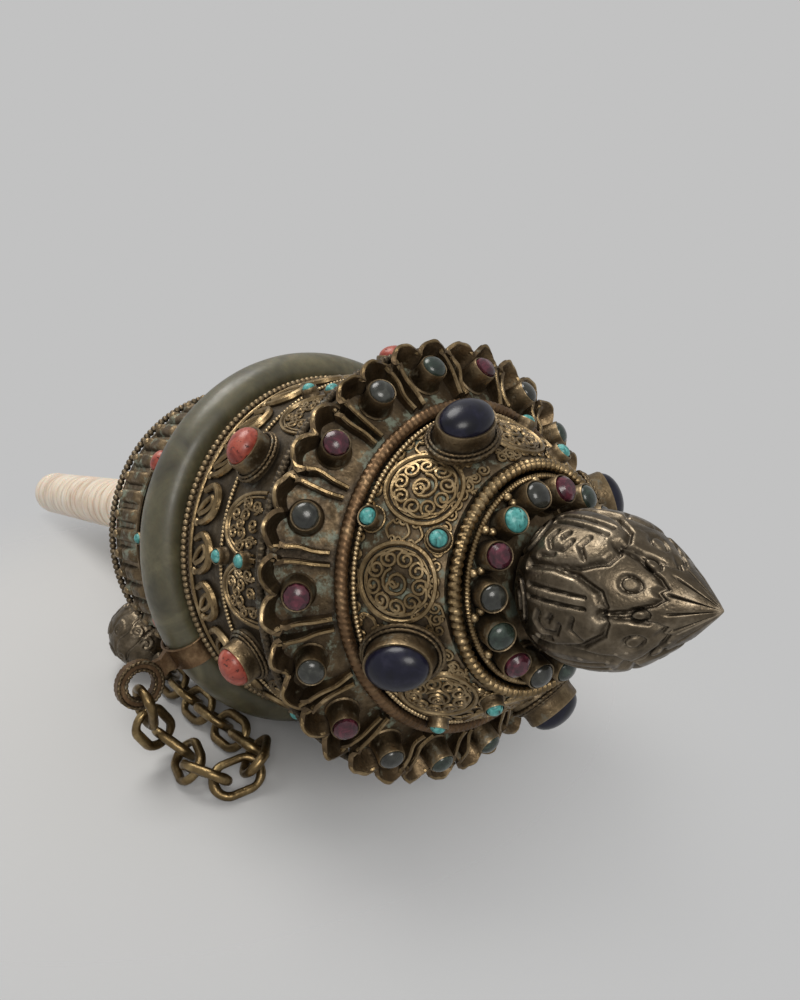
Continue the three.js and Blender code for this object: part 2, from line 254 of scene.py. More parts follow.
def bead_ring(pile, radius, height, bead, pitch):
    """Beads that nearly touch, round the spin axis."""
    count = round(TAU * radius / pitch)
    for centre, out in zip(*around(radius, height, count)):
        ball(pile, centre, bead, up=out)
    return pile


def lathe(pile, outline, steps=ROUND, matrix=None, scale=(1, 1)):
    """Turns a closed outline of (radius, height) about Z; scale makes it oval."""
    outline = np.asarray(outline, float)
    turn = turns(steps)
    reach = outline[:, :1] * np.ones((1, steps))
    points = np.stack([reach * np.cos(turn) * scale[0], reach * np.sin(turn) * scale[1],
                       np.broadcast_to(outline[:, 1:], reach.shape)], -1).reshape(-1, 3)
    if matrix is not None:
        points = points @ matrix[:3, :3].T + matrix[:3, 3]
    return pile.add(points, grid_faces(len(outline), steps, wrap_rows=True))


class Skin:
    """A surface of revolution that ornament is laid on, by angle and by distance up its outline."""

    def __init__(self, outline, rounds=0):
        line = np.asarray(outline, float)
        for _ in range(rounds):
            middle = np.stack([line[:-1] * 0.75 + line[1:] * 0.25, line[:-1] * 0.25 + line[1:] * 0.75], 1)
            line = np.vstack([line[:1], middle.reshape(-1, 2), line[-1:]])
        self.line = line
        self.reach = np.concatenate([[0], np.linalg.norm(np.diff(line, axis=0), axis=1).cumsum()])
        self.length = self.reach[-1]

    def edge(self, along):
        radius = np.interp(along, self.reach, self.line[:, 0])
        height = np.interp(along, self.reach, self.line[:, 1])
        return radius, height

    def along(self, height):
        """The distance up the outline at a height on the spin axis."""
        return float(np.interp(height, self.line[:, 1], self.reach))

    def lay(self, angle, along, lift=0.0):
        """Points at angle (degrees) and along (mm), and the surface's outward directions there."""
        angle, along = np.broadcast_arrays(np.radians(angle), np.asarray(along, float))
        radius, height = self.edge(along)
        before, after = self.edge(along - 0.4), self.edge(along + 0.4)
        slope = unit(np.stack([after[0] - before[0], after[1] - before[1]], -1))
        level, rise = slope[..., 1], -slope[..., 0]
        out = np.stack([level * np.cos(angle), level * np.sin(angle), rise], -1)
        base = np.stack([radius * np.cos(angle), radius * np.sin(angle), height], -1)
        return base + np.reshape(lift, np.shape(lift) + (1,)) * out, out

    def draw(self, angle, along, drawing, lift=0.0):
        """A flat drawing of (across, up) points laid round the place at angle and along."""
        drawing = np.asarray(drawing, float)
        radius = self.edge(along + drawing[:, 1])[0]
        return self.lay(angle + np.degrees(drawing[:, 0] / radius), along + drawing[:, 1], lift)

    def seat(self, angle, along, lift=0.0):
        """A frame on the surface: X across, Y up the outline, Z outward."""
        place, out = self.lay(angle, along, lift)
        return frame_of(compass(math.radians(angle))[1], out, place)

    def sheet(self, pile, thickness, step=1.2):
        """A closed sheet under the surface."""
        inner = self.line - [thickness, thickness * 0.3]
        fine = np.linspace(0, self.length, 2 + int(self.length / step))
        outer = np.stack(self.edge(fine), -1)
        return lathe(pile, np.vstack([outer, inner[::-1]]))


def draw_wire(pile, skin, angle, along, drawing, thick, lift=None, sides=6, closed=False):
    path, out = skin.draw(angle, along, drawing, thick * 0.7 if lift is None else lift)
    return wire(pile, path, out, thick, sides, closed)


def spiral(centre, radius, rounds, start=0.0, hand=1, inner=0.18):
    """A flat spiral, from its outer end in."""
    share = np.linspace(0, 1, max(8, int(14 * rounds)))
    reach = radius * (1 - share * (1 - inner))
    turn = math.radians(start) + hand * TAU * rounds * share
    return np.stack([centre[0] + reach * np.cos(turn), centre[1] + reach * np.sin(turn)], 1)


def ring_drawing(centre, half, count=36):
    turn = turns(count)
    return np.stack([centre[0] + half[0] * np.cos(turn), centre[1] + half[1] * np.sin(turn)], 1)


def c_scroll(start, end, bulge, curl, hand=1):
    """A bowed wire whose two ends curl inwards."""
    start, end = np.array(start, float), np.array(end, float)
    chord = end - start
    side = np.array([-chord[1], chord[0]]) / np.linalg.norm(chord) * hand
    heading = math.degrees(math.atan2(side[1], side[0]))
    first = spiral(start - side * curl, curl, 1.1, heading, -hand)[::-1]
    last = spiral(end - side * curl, curl, 1.1, heading, hand)
    middle = smooth_line([start, (start + end) / 2 + side * bulge, end], 12)
    return np.vstack([first, middle[1:-1], last])


# ---- Materials ----
class Paint:
    """A node material with short calls for the nodes used here."""

    def __init__(self, name):
        self.material = bpy.data.materials.new(name)
        self.material.use_nodes = True
        self.tree = self.material.node_tree
        self.shader = self.tree.nodes["Principled BSDF"]
        self.place = self.node("ShaderNodeTexCoord").outputs["Object"]

    def node(self, kind, **settings):
        made = self.tree.nodes.new(kind)
        for key, value in settings.items():
            setattr(made, key, value)
        return made

    def link(self, source, target):
        self.tree.links.new(source, target)

    def feed(self, socket, value):
        """Links a socket to value, or sets it where value is a number or a colour."""
        if isinstance(value, bpy.types.NodeSocket):
            self.link(value, socket)
        else:
            socket.default_value = value if np.isscalar(value) else tuple(value) + (1,)

    def noise(self, size, detail=4.0, roughness=0.55, distortion=0.0, stretch=(1, 1, 1)):
        """Noise whose features are about size millimetres across."""
        mapping = self.node("ShaderNodeMapping")
        mapping.inputs["Scale"].default_value = stretch
        self.link(self.place, mapping.inputs["Vector"])
        made = self.node("ShaderNodeTexNoise")
        made.inputs["Scale"].default_value = 1 / (size * MM)
        made.inputs["Detail"].default_value = detail
        made.inputs["Roughness"].default_value = roughness
        made.inputs["Distortion"].default_value = distortion
        self.link(mapping.outputs["Vector"], made.inputs["Vector"])
        return made.outputs["Fac"]

    def cells(self, size):
        made = self.node("ShaderNodeTexVoronoi")
        made.inputs["Scale"].default_value = 1 / (size * MM)
        self.link(self.place, made.inputs["Vector"])
        return made.outputs["Distance"]

    def ramp(self, source, stops):
        """A colour or grey ramp from (position, colour) stops."""
        made = self.node("ShaderNodeValToRGB")
        elements = made.color_ramp.elements
        while len(elements) < len(stops):
            elements.new(0.5)
        for element, (position, colour) in zip(elements, stops):
            element.position = position
            element.color = (colour,) * 3 + (1,) if np.isscalar(colour) else tuple(colour) + (1,)
        self.link(source, made.inputs["Fac"])
        return made.outputs["Color"]

    def mix(self, share, first, second):
        made = self.node("ShaderNodeMix", data_type="RGBA")
        for index, value in ((0, share), (6, first), (7, second)):
            self.feed(made.inputs[index], value)
        return made.outputs[2]

    def edges(self):
        """Bright where the mesh bulges out, from 0 to 1."""
        return self.node("ShaderNodeNewGeometry").outputs["Pointiness"]

    def occlusion_shade(self, distance):
        """Ambient occlusion, for painted shade: dark where other surfaces are close."""
        made = self.node("ShaderNodeAmbientOcclusion", samples=4)
        made.inputs["Distance"].default_value = distance * MM
        return made.outputs["AO"]

    def bump(self, source, height, normal=None):
        made = self.node("ShaderNodeBump")
        made.inputs["Strength"].default_value = 1.0
        made.inputs["Distance"].default_value = height * MM
        self.link(source, made.inputs["Height"])
        if normal is not None:
            self.link(normal, made.inputs["Normal"])
        return made.outputs["Normal"]

    def set(self, **values):
        """Sets or links the shader's sockets; Coat_Weight stands for "Coat Weight"."""
        for key, value in values.items():
            self.feed(self.shader.inputs[key.replace("_", " ")], value)
        return self.material


def aged_metal(name, dark, body, bright, crust=None, crust_share=0.0, rough=(0.34, 0.6), reach=1.6):
    """Worn metal: painted shade in its recesses, partly standing for dark patina there, bright high spots
    that are partly rubbed wear and partly painted highlight, and dull crust in patches.
    """
    paint = Paint(name)
    patches = paint.noise(5.0, detail=6)
    grime = paint.ramp(paint.noise(1.1, detail=5, roughness=0.65), [(0.32, 0.0), (0.68, 1.0)])
    colour = paint.ramp(patches, [(0.3, np.multiply(body, 0.62)), (0.52, body),
                                  (0.74, np.multiply(bright, 0.8))])
    # Pointiness turns the bulging parts and wires bright: partly rubbed wear, partly painted highlight.
    colour = paint.mix(paint.ramp(paint.edges(), [(0.51, 0.0), (0.6, 0.9)]), colour, bright)
    colour = paint.mix(grime, paint.mix(0.45, colour, dark), colour)
    # Painted shade: ambient occlusion within reach millimetres darkens the colour and lowers the metallic,
    # partly dark patina in the hollows and partly shade painted into the colour.
    hollow = paint.ramp(paint.occlusion_shade(reach), [(0.3, 1.0), (0.88, 0.0)])
    colour = paint.mix(hollow, colour, dark)
    metallic = paint.ramp(hollow, [(0.0, 1.0), (0.8, 0.55)])
    if crust is not None:
        spots = paint.noise(3.2, detail=7, roughness=0.7)
        low, high = 0.64 - crust_share, 0.74 - crust_share
        share = paint.ramp(spots, [(low, 0.0), (high, 1.0)])
        colour = paint.mix(share, colour, crust)
        metallic = paint.mix(share, metallic, (0.1, 0.1, 0.1))
    roughness = paint.ramp(grime, [(0.0, rough[1]), (1.0, rough[0])])
    relief = paint.bump(paint.noise(0.9, detail=6), 0.09)
    relief = paint.bump(paint.ramp(paint.cells(0.8), [(0.0, 0.0), (0.35, 1.0)]), 0.035, relief)
    return paint.set(Base_Color=colour, Metallic=metallic, Roughness=roughness, Normal=relief)


def polished_stone(name, stops, size, rough=0.3, pits=None, coat=0.15, relief=0.03, gloss=0.35, inner=0.0):
    """Polished stone or glass with a mottled colour, and dark pits where the real one has them."""
    paint = Paint(name)
    colour = paint.ramp(paint.noise(size, detail=6, distortion=0.8), stops)
    height = paint.noise(size * 0.4, detail=5)
    normal = paint.bump(height, relief)
    if pits is not None:
        holes = paint.ramp(paint.noise(0.8, detail=6, roughness=0.75), [(0.6, 0.0), (0.66, 1.0)])
        colour = paint.mix(holes, colour, pits)
        normal = paint.bump(holes, -0.12, normal)
    return paint.set(Base_Color=colour, Roughness=rough, Normal=normal, Coat_Weight=coat,
                     Coat_Roughness=0.16, Specular_IOR_Level=gloss, Transmission_Weight=inner)


PATINA = aged_metal("patina_bronze", (0.022, 0.015, 0.009), (0.13, 0.093, 0.054), (0.32, 0.235, 0.14),
                    crust=(0.15, 0.17, 0.125), crust_share=0.115, rough=(0.4, 0.66), reach=1.8)
RIBBON = aged_metal("ribbon_bronze", (0.028, 0.018, 0.01), (0.15, 0.105, 0.06), (0.4, 0.29, 0.165),
                    crust=(0.12, 0.12, 0.085), crust_share=0.04, rough=(0.36, 0.6), reach=1.0)
DARK = aged_metal("dark_bronze", (0.016, 0.012, 0.008), (0.085, 0.065, 0.042), (0.22, 0.17, 0.11),
                  crust=(0.09, 0.092, 0.072), crust_share=0.05)
GILT = aged_metal("gilt_wire", (0.035, 0.022, 0.01), (0.29, 0.205, 0.105), (0.68, 0.51, 0.29),
                  rough=(0.27, 0.48), reach=0.6)
BEZEL = aged_metal("bezel_brass", (0.022, 0.016, 0.01), (0.14, 0.1, 0.057), (0.38, 0.28, 0.16),
                   crust=(0.1, 0.09, 0.062), crust_share=0.07, rough=(0.34, 0.58))
COPPER = aged_metal("aged_copper", (0.04, 0.023, 0.012), (0.2, 0.122, 0.066), (0.48, 0.33, 0.18),
                    rough=(0.35, 0.6))
PEWTER = aged_metal("chased_pewter", (0.012, 0.009, 0.006), (0.15, 0.118, 0.08), (0.42, 0.345, 0.25),
                    rough=(0.26, 0.46), reach=2.2)
CHAIN = aged_metal("chain_brass", (0.035, 0.023, 0.01), (0.24, 0.168, 0.08), (0.6, 0.45, 0.22),
                   rough=(0.27, 0.46))
STEEL = aged_metal("turned_steel", (0.05, 0.05, 0.05), (0.35, 0.35, 0.35), (0.6, 0.6, 0.6))

LAPIS = polished_stone("lapis", [(0.3, (0.002, 0.002, 0.005)), (0.55, (0.005, 0.005, 0.015)),
                                 (0.75, (0.016, 0.015, 0.03))], 3.0, coat=0.1, gloss=0.28)
CORAL = polished_stone("coral", [(0.3, (0.14, 0.02, 0.012)), (0.5, (0.29, 0.055, 0.034)),
                                 (0.72, (0.4, 0.15, 0.105))], 2.6, rough=0.36, pits=(0.03, 0.009, 0.007))
TURQUOISE = polished_stone("turquoise", [(0.3, (0.02, 0.09, 0.085)), (0.52, (0.06, 0.27, 0.255)),
                                         (0.72, (0.17, 0.43, 0.4))], 1.2,
                           rough=0.38, pits=(0.02, 0.03, 0.025))
RUBY = polished_stone("ruby_glass", [(0.3, (0.02, 0.006, 0.009)), (0.5, (0.05, 0.009, 0.017)),
                                     (0.75, (0.16, 0.03, 0.05))], 1.6, rough=0.25, coat=0.3, inner=0.1)
SMOKE = polished_stone("smoke_glass", [(0.3, (0.012, 0.012, 0.01)), (0.55, (0.028, 0.029, 0.024)),
                                       (0.78, (0.08, 0.082, 0.07))], 1.8, rough=0.22, coat=0.3, inner=0.1)
GREEN = polished_stone("green_glass", [(0.3, (0.009, 0.013, 0.01)), (0.55, (0.022, 0.035, 0.026)),
                                       (0.78, (0.065, 0.095, 0.072))], 1.6, rough=0.26, coat=0.3, inner=0.1)
PAPER = polished_stone("scroll_paper", [(0.35, (0.42, 0.32, 0.19)), (0.7, (0.6, 0.49, 0.32))], 4.0,
                       rough=0.85, coat=0.0)


def jade_look():
    """Olive grey jade with soft darker clouds and a glossy polish."""
    paint = Paint("jade")
    cloud = paint.noise(16, detail=5, roughness=0.6, distortion=1.2)
    fine = paint.noise(2.2, detail=6, roughness=0.6)
    colour = paint.ramp(cloud, [(0.3, (0.03, 0.026, 0.013)), (0.5, (0.072, 0.064, 0.033)),
                                (0.72, (0.145, 0.128, 0.07))])
    colour = paint.mix(paint.ramp(fine, [(0.35, 0.3), (0.65, 0.0)]), colour, (0.03, 0.028, 0.018))
    return paint.set(Base_Color=colour, Roughness=paint.ramp(fine, [(0.3, 0.55), (0.7, 0.38)]),
                     Normal=paint.bump(fine, 0.03), Subsurface_Weight=0.08, Subsurface_Scale=1.5 * MM,
                     Coat_Weight=0.15, Coat_Roughness=0.2)


def shell_look():
    """Cream shell with faint bands and pink-brown stains, and painted shade in brown in the grooves, where
    other surfaces are close.
    """
    paint = Paint("shell")
    bands = paint.noise(5.5, detail=6, distortion=0.7, stretch=(1.6, 0.5, 0.5))
    colour = paint.ramp(bands, [(0.3, (0.5, 0.36, 0.25)), (0.5, (0.68, 0.56, 0.42)),
                                (0.72, (0.79, 0.71, 0.59))])
    stain = paint.ramp(paint.noise(9, detail=3), [(0.55, 0.0), (0.75, 0.55)])
    colour = paint.mix(stain, colour, (0.56, 0.37, 0.27))
    # Painted shade: ambient occlusion browns the shell where other surfaces are close, in the grooves and
    # between the discs.
    groove = paint.ramp(paint.occlusion_shade(1.2), [(0.45, 0.9), (0.9, 0.0)])
    colour = paint.mix(groove, colour, (0.16, 0.09, 0.045))
    return paint.set(Base_Color=colour, Roughness=0.36, Normal=paint.bump(bands, 0.05),
                     Subsurface_Weight=0.2, Subsurface_Scale=1.2 * MM, Coat_Weight=0.3)


JADE = jade_look()
SHELL = shell_look()


# ---- Pieces ----
def piece(name, pile, look, body, replaces=(), sharp=35, local=True):
    """Makes one object from a pile; local piles are in the wheel's frame, others in the object's."""
    points = np.concatenate(pile.points) * MM
    if local:
        points = points @ WHEEL + CENTRE
    mesh = bpy.data.meshes.new(name)
    mesh.from_pydata(points.tolist(), [], pile.faces)
    mesh.validate()
    mesh.shade_smooth()
    mesh.set_sharp_from_angle(angle=math.radians(sharp))
    mesh.materials.append(look)
    made = bpy.data.objects.new(name, mesh)
    bpy.context.scene.collection.objects.link(made)
    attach(made, body)
    if replaces:
        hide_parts(*replaces)


def stone_pieces(gems, looks, body):
    """One piece for each kind of stone. looks gives its name and material, and a slot that is not used."""
    for kind, (name, look, slot) in looks.items():
        piece(name, gems[kind], look, body)


def cup(pile, seat, radius, height, flare=1.0, oval=(1, 1), lip=0.32, sink=0.7, steps=28):
    """A bezel: a thin wall that stands on a foot and turns in over its stone."""
    mouth, waist = radius * flare, radius * (1 + flare) / 2 * 0.98
    outline = [(POLE, -0.8), (radius * 1.12, -0.8), (radius * 1.12, 0.25), (radius * 1.03, 0.5),
               (waist, height * 0.55), (mouth, height - 0.25), (mouth - 0.1, height),
               (mouth - lip, height - 0.1), (mouth - lip - 0.05, height - sink), (POLE, height - sink)]
    return lathe(pile, outline, steps, seat, oval)


def stone(pile, seat, radius, base, height, oval=(1, 1), steps=24, table=0.0):
    """A cabochon on its base height. table above 0 cuts it flat there, as a share of its radius."""
    share = np.linspace(0, 1, 9)[:-1] * math.pi / 2
    dome = [(radius * math.cos(a), base + height * math.sin(a)) for a in share]
    if table:
        dome = [(radius, base), (radius * 0.96, base + height * 0.45), (radius * table, base + height * 0.95)]
    outline = [(POLE / 10, base - 0.6), (radius, base - 0.6)] + dome + [(POLE / 10, base + height)]
    return lathe(pile, outline, steps, seat, oval)


def collar(pile, seat, radius, thick, oval=(1, 1), pitch=0.9):
    """A twisted wire round the foot of a bezel."""
    count = max(40, int(TAU * radius / pitch * 4))
    flat = ring_drawing((0, 0), (radius * oval[0], radius * oval[1]), count)
    path = np.column_stack([flat, np.full(count, thick)])
    path = path @ seat[:3, :3].T + seat[:3, 3]
    return rope(pile, path, seat[:3, 2], thick, pitch)


# Spans and skins that the ornament is placed by
flange, dome_span = Span("crown_flange"), Span("dome")
copper_ring = Span("copper_rope_ring")
thick_ring, thin_ring, plate_ring = Span("thick_rope_ring"), Span("thin_rope_ring"), Span("top_plate")
jade_span, jade_beads = Span("jade_ring"), Span("jade_bead_ring")
CROWN_SKIN = Skin([(flange.outer, 0), (copper_ring.radius, flange.top)])
DOME_SKIN = Skin(outer_line("dome"), rounds=2)
UPPER_SKIN = Skin(outer_line("upper_sleeve"), rounds=2)
LOWER_SKIN = Skin(outer_line("lower_sleeve"))

# ---- Crown: cells round the flange, each with a stone ----
CELL_STONES = "dgrgrgrgddggdggdgr"  # one for each cell, from the phase round
CELL_LOOKS = {"g": ("crown_grey_stones", SMOKE, "smoke_glass"), "r": ("crown_ruby_stones", RUBY, "ruby"),
              "d": ("crown_dark_stones", GREEN, "smoke_glass")}
CELL_STEP = 360 / len(CELL_STONES)
CELL_PHASE = 4.5
# A cell's wall: its thickness, its height at the dome and at the rim, and how far it leans out there.
WALL = {"thick": 0.85, "low": 1.6, "high": 3.3, "lean": 1.7, "rim": 0.7, "foot": 1.0, "edge_wire": 0.42}
WALL_WOBBLE = (0.26, 0.16, 0.26)  # degrees round, millimetres along, millimetres of height
CROWN_STONE = {"radius": 2.75, "height": 4.4, "along": 4.9}


def cell_outline(steps=24):
    """(degrees, along) points of one cell's wall: straight sides, and two lobes along the rim."""
    half = CELL_STEP / 2 - 0.75
    inner, corner, notch, reach = CROWN_SKIN.length - WALL["foot"], 2.2, 2.5, 0.6
    side = [(-half * 0.9, inner - (inner - corner) * share) for share in np.linspace(0, 1, 12)]
    rim = []
    for share in np.linspace(-0.93, 0.93, steps):
        bow = abs(math.sin(math.pi * share)) ** 0.7
        rim.append((half * share, notch - (notch - reach) * bow))
    return np.array(side + rim + [(-angle, along) for angle, along in reversed(side)])


def crown_flange():
    sheet = Pile()
    rim = np.array([(flange.outer, 0), (copper_ring.radius, flange.top)])
    spigot = meridian("crown_flange")
    low = spigot[spigot[:, 1] < flange.bottom + 0.1]
    inner, outer = low[:, 0].min(), low[:, 0].max()
    fine = [rim[0] + (rim[1] - rim[0]) * share for share in np.linspace(0, 1, 9)]
    under = [(inner, flange.top), (inner, flange.bottom), (outer, flange.bottom), (outer, flange.top - 2.4),
             (flange.outer - 0.4, -1.2)]
    lathe(sheet, fine + under)
    piece("crown_sheet", sheet, PATINA, "lid", ["crown_flange"])


def crown_cells():
    """Ribbon walls, which are taller near the rim and lean out over it, with a gilt edge."""
    walls, edges = Pile(), Pile()
    outline = smooth_line(cell_outline(), 110)
    wide = CROWN_SKIN.length - WALL["foot"] - WALL["rim"]
    nearness = np.clip(1 - (outline[:, 1] - WALL["rim"]) / wide, 0, 1)
    height = WALL["low"] + (WALL["high"] - WALL["low"]) * nearness**1.5
    rng = np.random.default_rng(18)
    for k in range(len(CELL_STONES)):
        wobble = smooth_line(rng.normal(0, 1, (14, 3)) * WALL_WOBBLE, len(outline))
        degrees = CELL_PHASE + CELL_STEP * k + outline[:, 0] + wobble[:, 0]
        along = outline[:, 1] + wobble[:, 1]
        foot, out = CROWN_SKIN.lay(degrees, along, -0.2)
        leaning = along - WALL["lean"] * nearness**2
        crest, _ = CROWN_SKIN.lay(degrees, np.maximum(leaning, 0), np.maximum(height + wobble[:, 2], 0.6))
        turn, overhang = np.radians(degrees), np.maximum(-leaning, 0)
        crest = crest + np.stack([np.cos(turn) * overhang, np.sin(turn) * overhang, 0 * turn], 1)
        reach = np.linalg.norm(crest - foot, axis=1)
        section = stretched([(-1, 0), (1, 0), (1, 1), (-1, 1)], WALL["thick"] / 2, reach)
        sweep(walls, foot, unit(crest - foot), section)
        wire(edges, crest, out, WALL["edge_wire"])
    piece("crown_cell_walls", walls, RIBBON, "lid")
    piece("crown_cell_edges", edges, GILT, "lid")


def crown_stones():
    cups = Pile()
    gems = {kind: Pile() for kind in CELL_LOOKS}
    radius, height = CROWN_STONE["radius"], CROWN_STONE["height"]
    for k, kind in enumerate(CELL_STONES):
        seat = CROWN_SKIN.seat(CELL_PHASE + CELL_STEP * k, CROWN_STONE["along"])
        cup(cups, seat, radius, height, flare=0.9)
        if kind == "r":
            stone(gems[kind], seat, radius * 0.78, height - 0.1, 1.1, steps=10, table=0.6)
        else:
            stone(gems[kind], seat, radius * 0.8, height - 0.2, 1.2)
    piece("crown_bezels", cups, BEZEL, "lid")
    stone_pieces(gems, CELL_LOOKS, "lid")


def crown_ropes():
    rim = Span("crown_rope_rim")
    edge, copper, coil = Pile(), Pile(), Pile()
    ring_rope(edge, rim.radius, rim.height, 0.85, 0.95)
    piece("crown_rope", edge, DARK, "lid", ["crown_rope_rim"])
    ring_rope(copper, copper_ring.radius, copper_ring.height, 1.2, 1.1, depth=0.16, sides=12)
    piece("copper_rope", copper, COPPER, "lid", ["copper_rope_ring"])
    bead_ring(coil, dome_span.outer + 0.25, copper_ring.height + 1.35, 0.5, 0.8)
    piece("dome_foot_coil", coil, GILT, "lid")


# ---- Dome: lapis, rosettes, turquoise and small scrolls ----
LAPIS_PHASE = 16.5
LAPIS_STEP = 90
FILLER_WIRE = 0.28
DOME_CUPS = (3.6, 14.9)  # distances up the dome
DOME_SIDE_SCROLLS = ((4.4, 33), (7.2, 37), (10.4, 36), (13.4, 33), (15.6, 29))  # (along, degrees)
ROSETTE = {"offset": 18.5, "radius": 6.2, "along": 9.3, "wire": 0.34}


def dome_shell():
    sheet = Pile()
    DOME_SKIN.sheet(sheet, 1.1)
    piece("dome_shell", sheet, PATINA, "lid", ["dome"])


def rosette(pile, skin, angle, along, radius, thick, hand):
    """A double wire ring filled with a whirl of small spirals."""
    def draw(drawing, share=1.0, closed=False):
        draw_wire(pile, skin, angle, along, drawing * radius, thick * share, closed=closed)

    draw(ring_drawing((0, 0), (1, 1), 48), 1.35, closed=True)
    draw(ring_drawing((0, 0), (0.86, 0.86), 44), 0.7, closed=True)
    for turn in turns(9):
        centre = (0.62 * math.cos(turn), 0.62 * math.sin(turn))
        curl = spiral(centre, 0.225, 1.35, math.degrees(turn) + 60 * hand, hand)
        stem = [(reach * math.cos(turn - back * hand), reach * math.sin(turn - back * hand))
                for reach, back in ((0.8, 0.62), (0.84, 0.25))]
        draw(np.vstack([smooth_line(stem + [curl[0]], 7)[:-1], curl]))
    draw(spiral((0, 0), 0.38, 1.7, 200, hand))
    draw(spiral((0.1, -0.08), 0.2, 1.0, 20, -hand))


def dome_filigree():
    """Two rosettes between each pair of lapis stones, and small scrolls in the rest of the space."""
    wires = Pile()
    rng = np.random.default_rng(29)
    for quarter in range(4):
        middle = LAPIS_PHASE + LAPIS_STEP * (quarter + 0.5)
        for hand in (-1, 1):
            rosette(wires, DOME_SKIN, middle + hand * ROSETTE["offset"], ROSETTE["along"],
                    ROSETTE["radius"], ROSETTE["wire"], hand)
        for across in np.linspace(-38, 38, 15):
            tilt = rng.uniform(-20, 20)
            for along, size in ((1.9, 1.2), (DOME_SKIN.length - 1.5, 1.05)):
                curl = spiral((0, 0), size, 1.4, 200 + tilt, 1 if across > 0 else -1)
                draw_wire(wires, DOME_SKIN, middle + across + tilt * 0.05, along, curl, FILLER_WIRE)
        for side in (-1, 1):
            for along, across in DOME_SIDE_SCROLLS:
                scroll = c_scroll((-1.2, -1.0), (1.2, 1.0), 0.7, 0.6, side)
                draw_wire(wires, DOME_SKIN, middle + side * across, along, scroll, FILLER_WIRE)
        for along, side in ((7.2, -1), (9.3, 1), (11.4, 1)):
            scroll = c_scroll((-1.5, 0.0), (1.5, 0.0), 0.9, 0.6, side)
            draw_wire(wires, DOME_SKIN, middle, along, scroll, FILLER_WIRE)
    piece("dome_filigree", wires, GILT, "lid")


def dome_stones():
    cups, gems, ropes = Pile(), Pile(), Pile()
    for quarter in range(4):
        angle = LAPIS_PHASE + LAPIS_STEP * (quarter + 0.48)
        for place, along in enumerate(DOME_CUPS):
            seat = DOME_SKIN.seat(angle + place * 1.5, along)
            cup(cups, seat, 1.85, 2.3, flare=1.02, lip=0.3)
            stone(gems, seat, 1.4, 2.0, 1.1, steps=18)
            collar(ropes, seat, 2.1, 0.26, pitch=0.6)
    piece("dome_turquoise_cups", cups, BEZEL, "lid")
    piece("dome_turquoise", gems, TURQUOISE, "lid")
    piece("dome_cup_ropes", ropes, GILT, "lid")


def oval_seat(cup_node, stone_node):
    """An oval CAD cup's frame on the wheel, its height, and its stone's half sizes and rise above it."""
    shell, gem = wheel_points(cup_node), wheel_points(stone_node)
    centre = (shell.min(0) + shell.max(0)) / 2
    radial, across = compass(math.atan2(centre[1], centre[0]))
    spread = shell - shell.mean(0)
    _, _, directions = np.linalg.svd(spread - np.outer(spread @ across, across), full_matrices=False)
    toward = gem.mean(0) - shell.mean(0)
    out = max(directions[:2], key=lambda direction: abs(direction @ toward))
    out = unit(out * np.sign(out @ radial))
    plane = np.stack([across, np.cross(out, across)], 1)
    low, high = (shell @ out).min(), (shell @ out).max()
    middle = (shell @ plane).mean(0)
    half = np.abs(gem @ plane - middle).max(0)
    return frame_of(across, out, plane @ middle + out * low), high - low, half, (gem @ out).max() - high


def oval_cups(name, count, look, wall, body):
    """Replaces a row of CAD cups and stones by detailed ones of the same size."""
    cups, gems, ropes = Pile(), Pile(), Pile()
    cup_nodes = [f"{name}_bezel_{i}" for i in range(1, count + 1)]
    stone_nodes = [f"{name}_{i}" for i in range(1, count + 1)]
    for cup_node, stone_node in zip(cup_nodes, stone_nodes):
        seat, height, half, rise = oval_seat(cup_node, stone_node)
        rim = half + wall
        oval = (1.0, rim[1] / rim[0])
        cup(cups, seat, rim[0], height, flare=0.97, oval=oval, lip=wall * 1.1, sink=0.9, steps=48)
        stone(gems, seat, half[0] * 0.98, height - 0.1, rise, oval=(1, half[1] / half[0]), steps=48)
        collar(ropes, seat, rim[0] * 1.16, 0.42, oval=oval, pitch=1.0)
        upper = seat.copy()
        upper[:3, 3] += seat[:3, 2] * 0.75
        collar(ropes, upper, rim[0] * 1.08, 0.3, oval=oval, pitch=0.8)
    piece(f"{name}_cups", cups, BEZEL, body, cup_nodes)
    piece(f"{name}_stones", gems, look, body, stone_nodes, sharp=60)
    piece(f"{name}_cup_ropes", ropes, BEZEL, body)


# ---- Lid top: rope rings, and tall cups round the finial ----
TOP_PHASE = 13
TOP_STONES = "gurgtrgtgrgtgtr"  # one for each cup, from the phase round
TOP_STEP = 360 / len(TOP_STONES)
TOP_LOOKS = {"g": ("top_grey_stones", SMOKE, "smoke_glass"), "t": ("top_green_stones", GREEN, "turquoise"),
             "u": ("top_turquoise", TURQUOISE, "turquoise"), "r": ("top_ruby_stones", RUBY, "ruby")}
TOP_CUP = {"reach": 13.4, "height": 5.0, "radius": 2.6, "lean": 24}
TOP_GRAINS = ((0.5, 16.7), (0.42, 15.2))  # share of a step past each cup, and radius of the circle


def lid_top():
    plate, ropes, thin = Pile(), Pile(), Pile()
    lathe(plate, [(plate_ring.inner, plate_ring.top), (plate_ring.inner, plate_ring.top - 1),
                  (plate_ring.outer, plate_ring.bottom), (plate_ring.outer + 0.4, plate_ring.bottom + 1)])
    piece("lid_plate", plate, PATINA, "lid", ["top_plate"])
    ring_rope(ropes, thick_ring.radius, thick_ring.height, 1.1, 1.25, depth=0.4, sides=12, strands=1)
    piece("thick_rope", ropes, GILT, "lid", ["thick_rope_ring"])
    ring_rope(thin, thin_ring.radius, thin_ring.height, 0.6, 0.62, depth=0.36, strands=1)
    piece("thin_rope", thin, GILT, "lid", ["thin_rope_ring"])


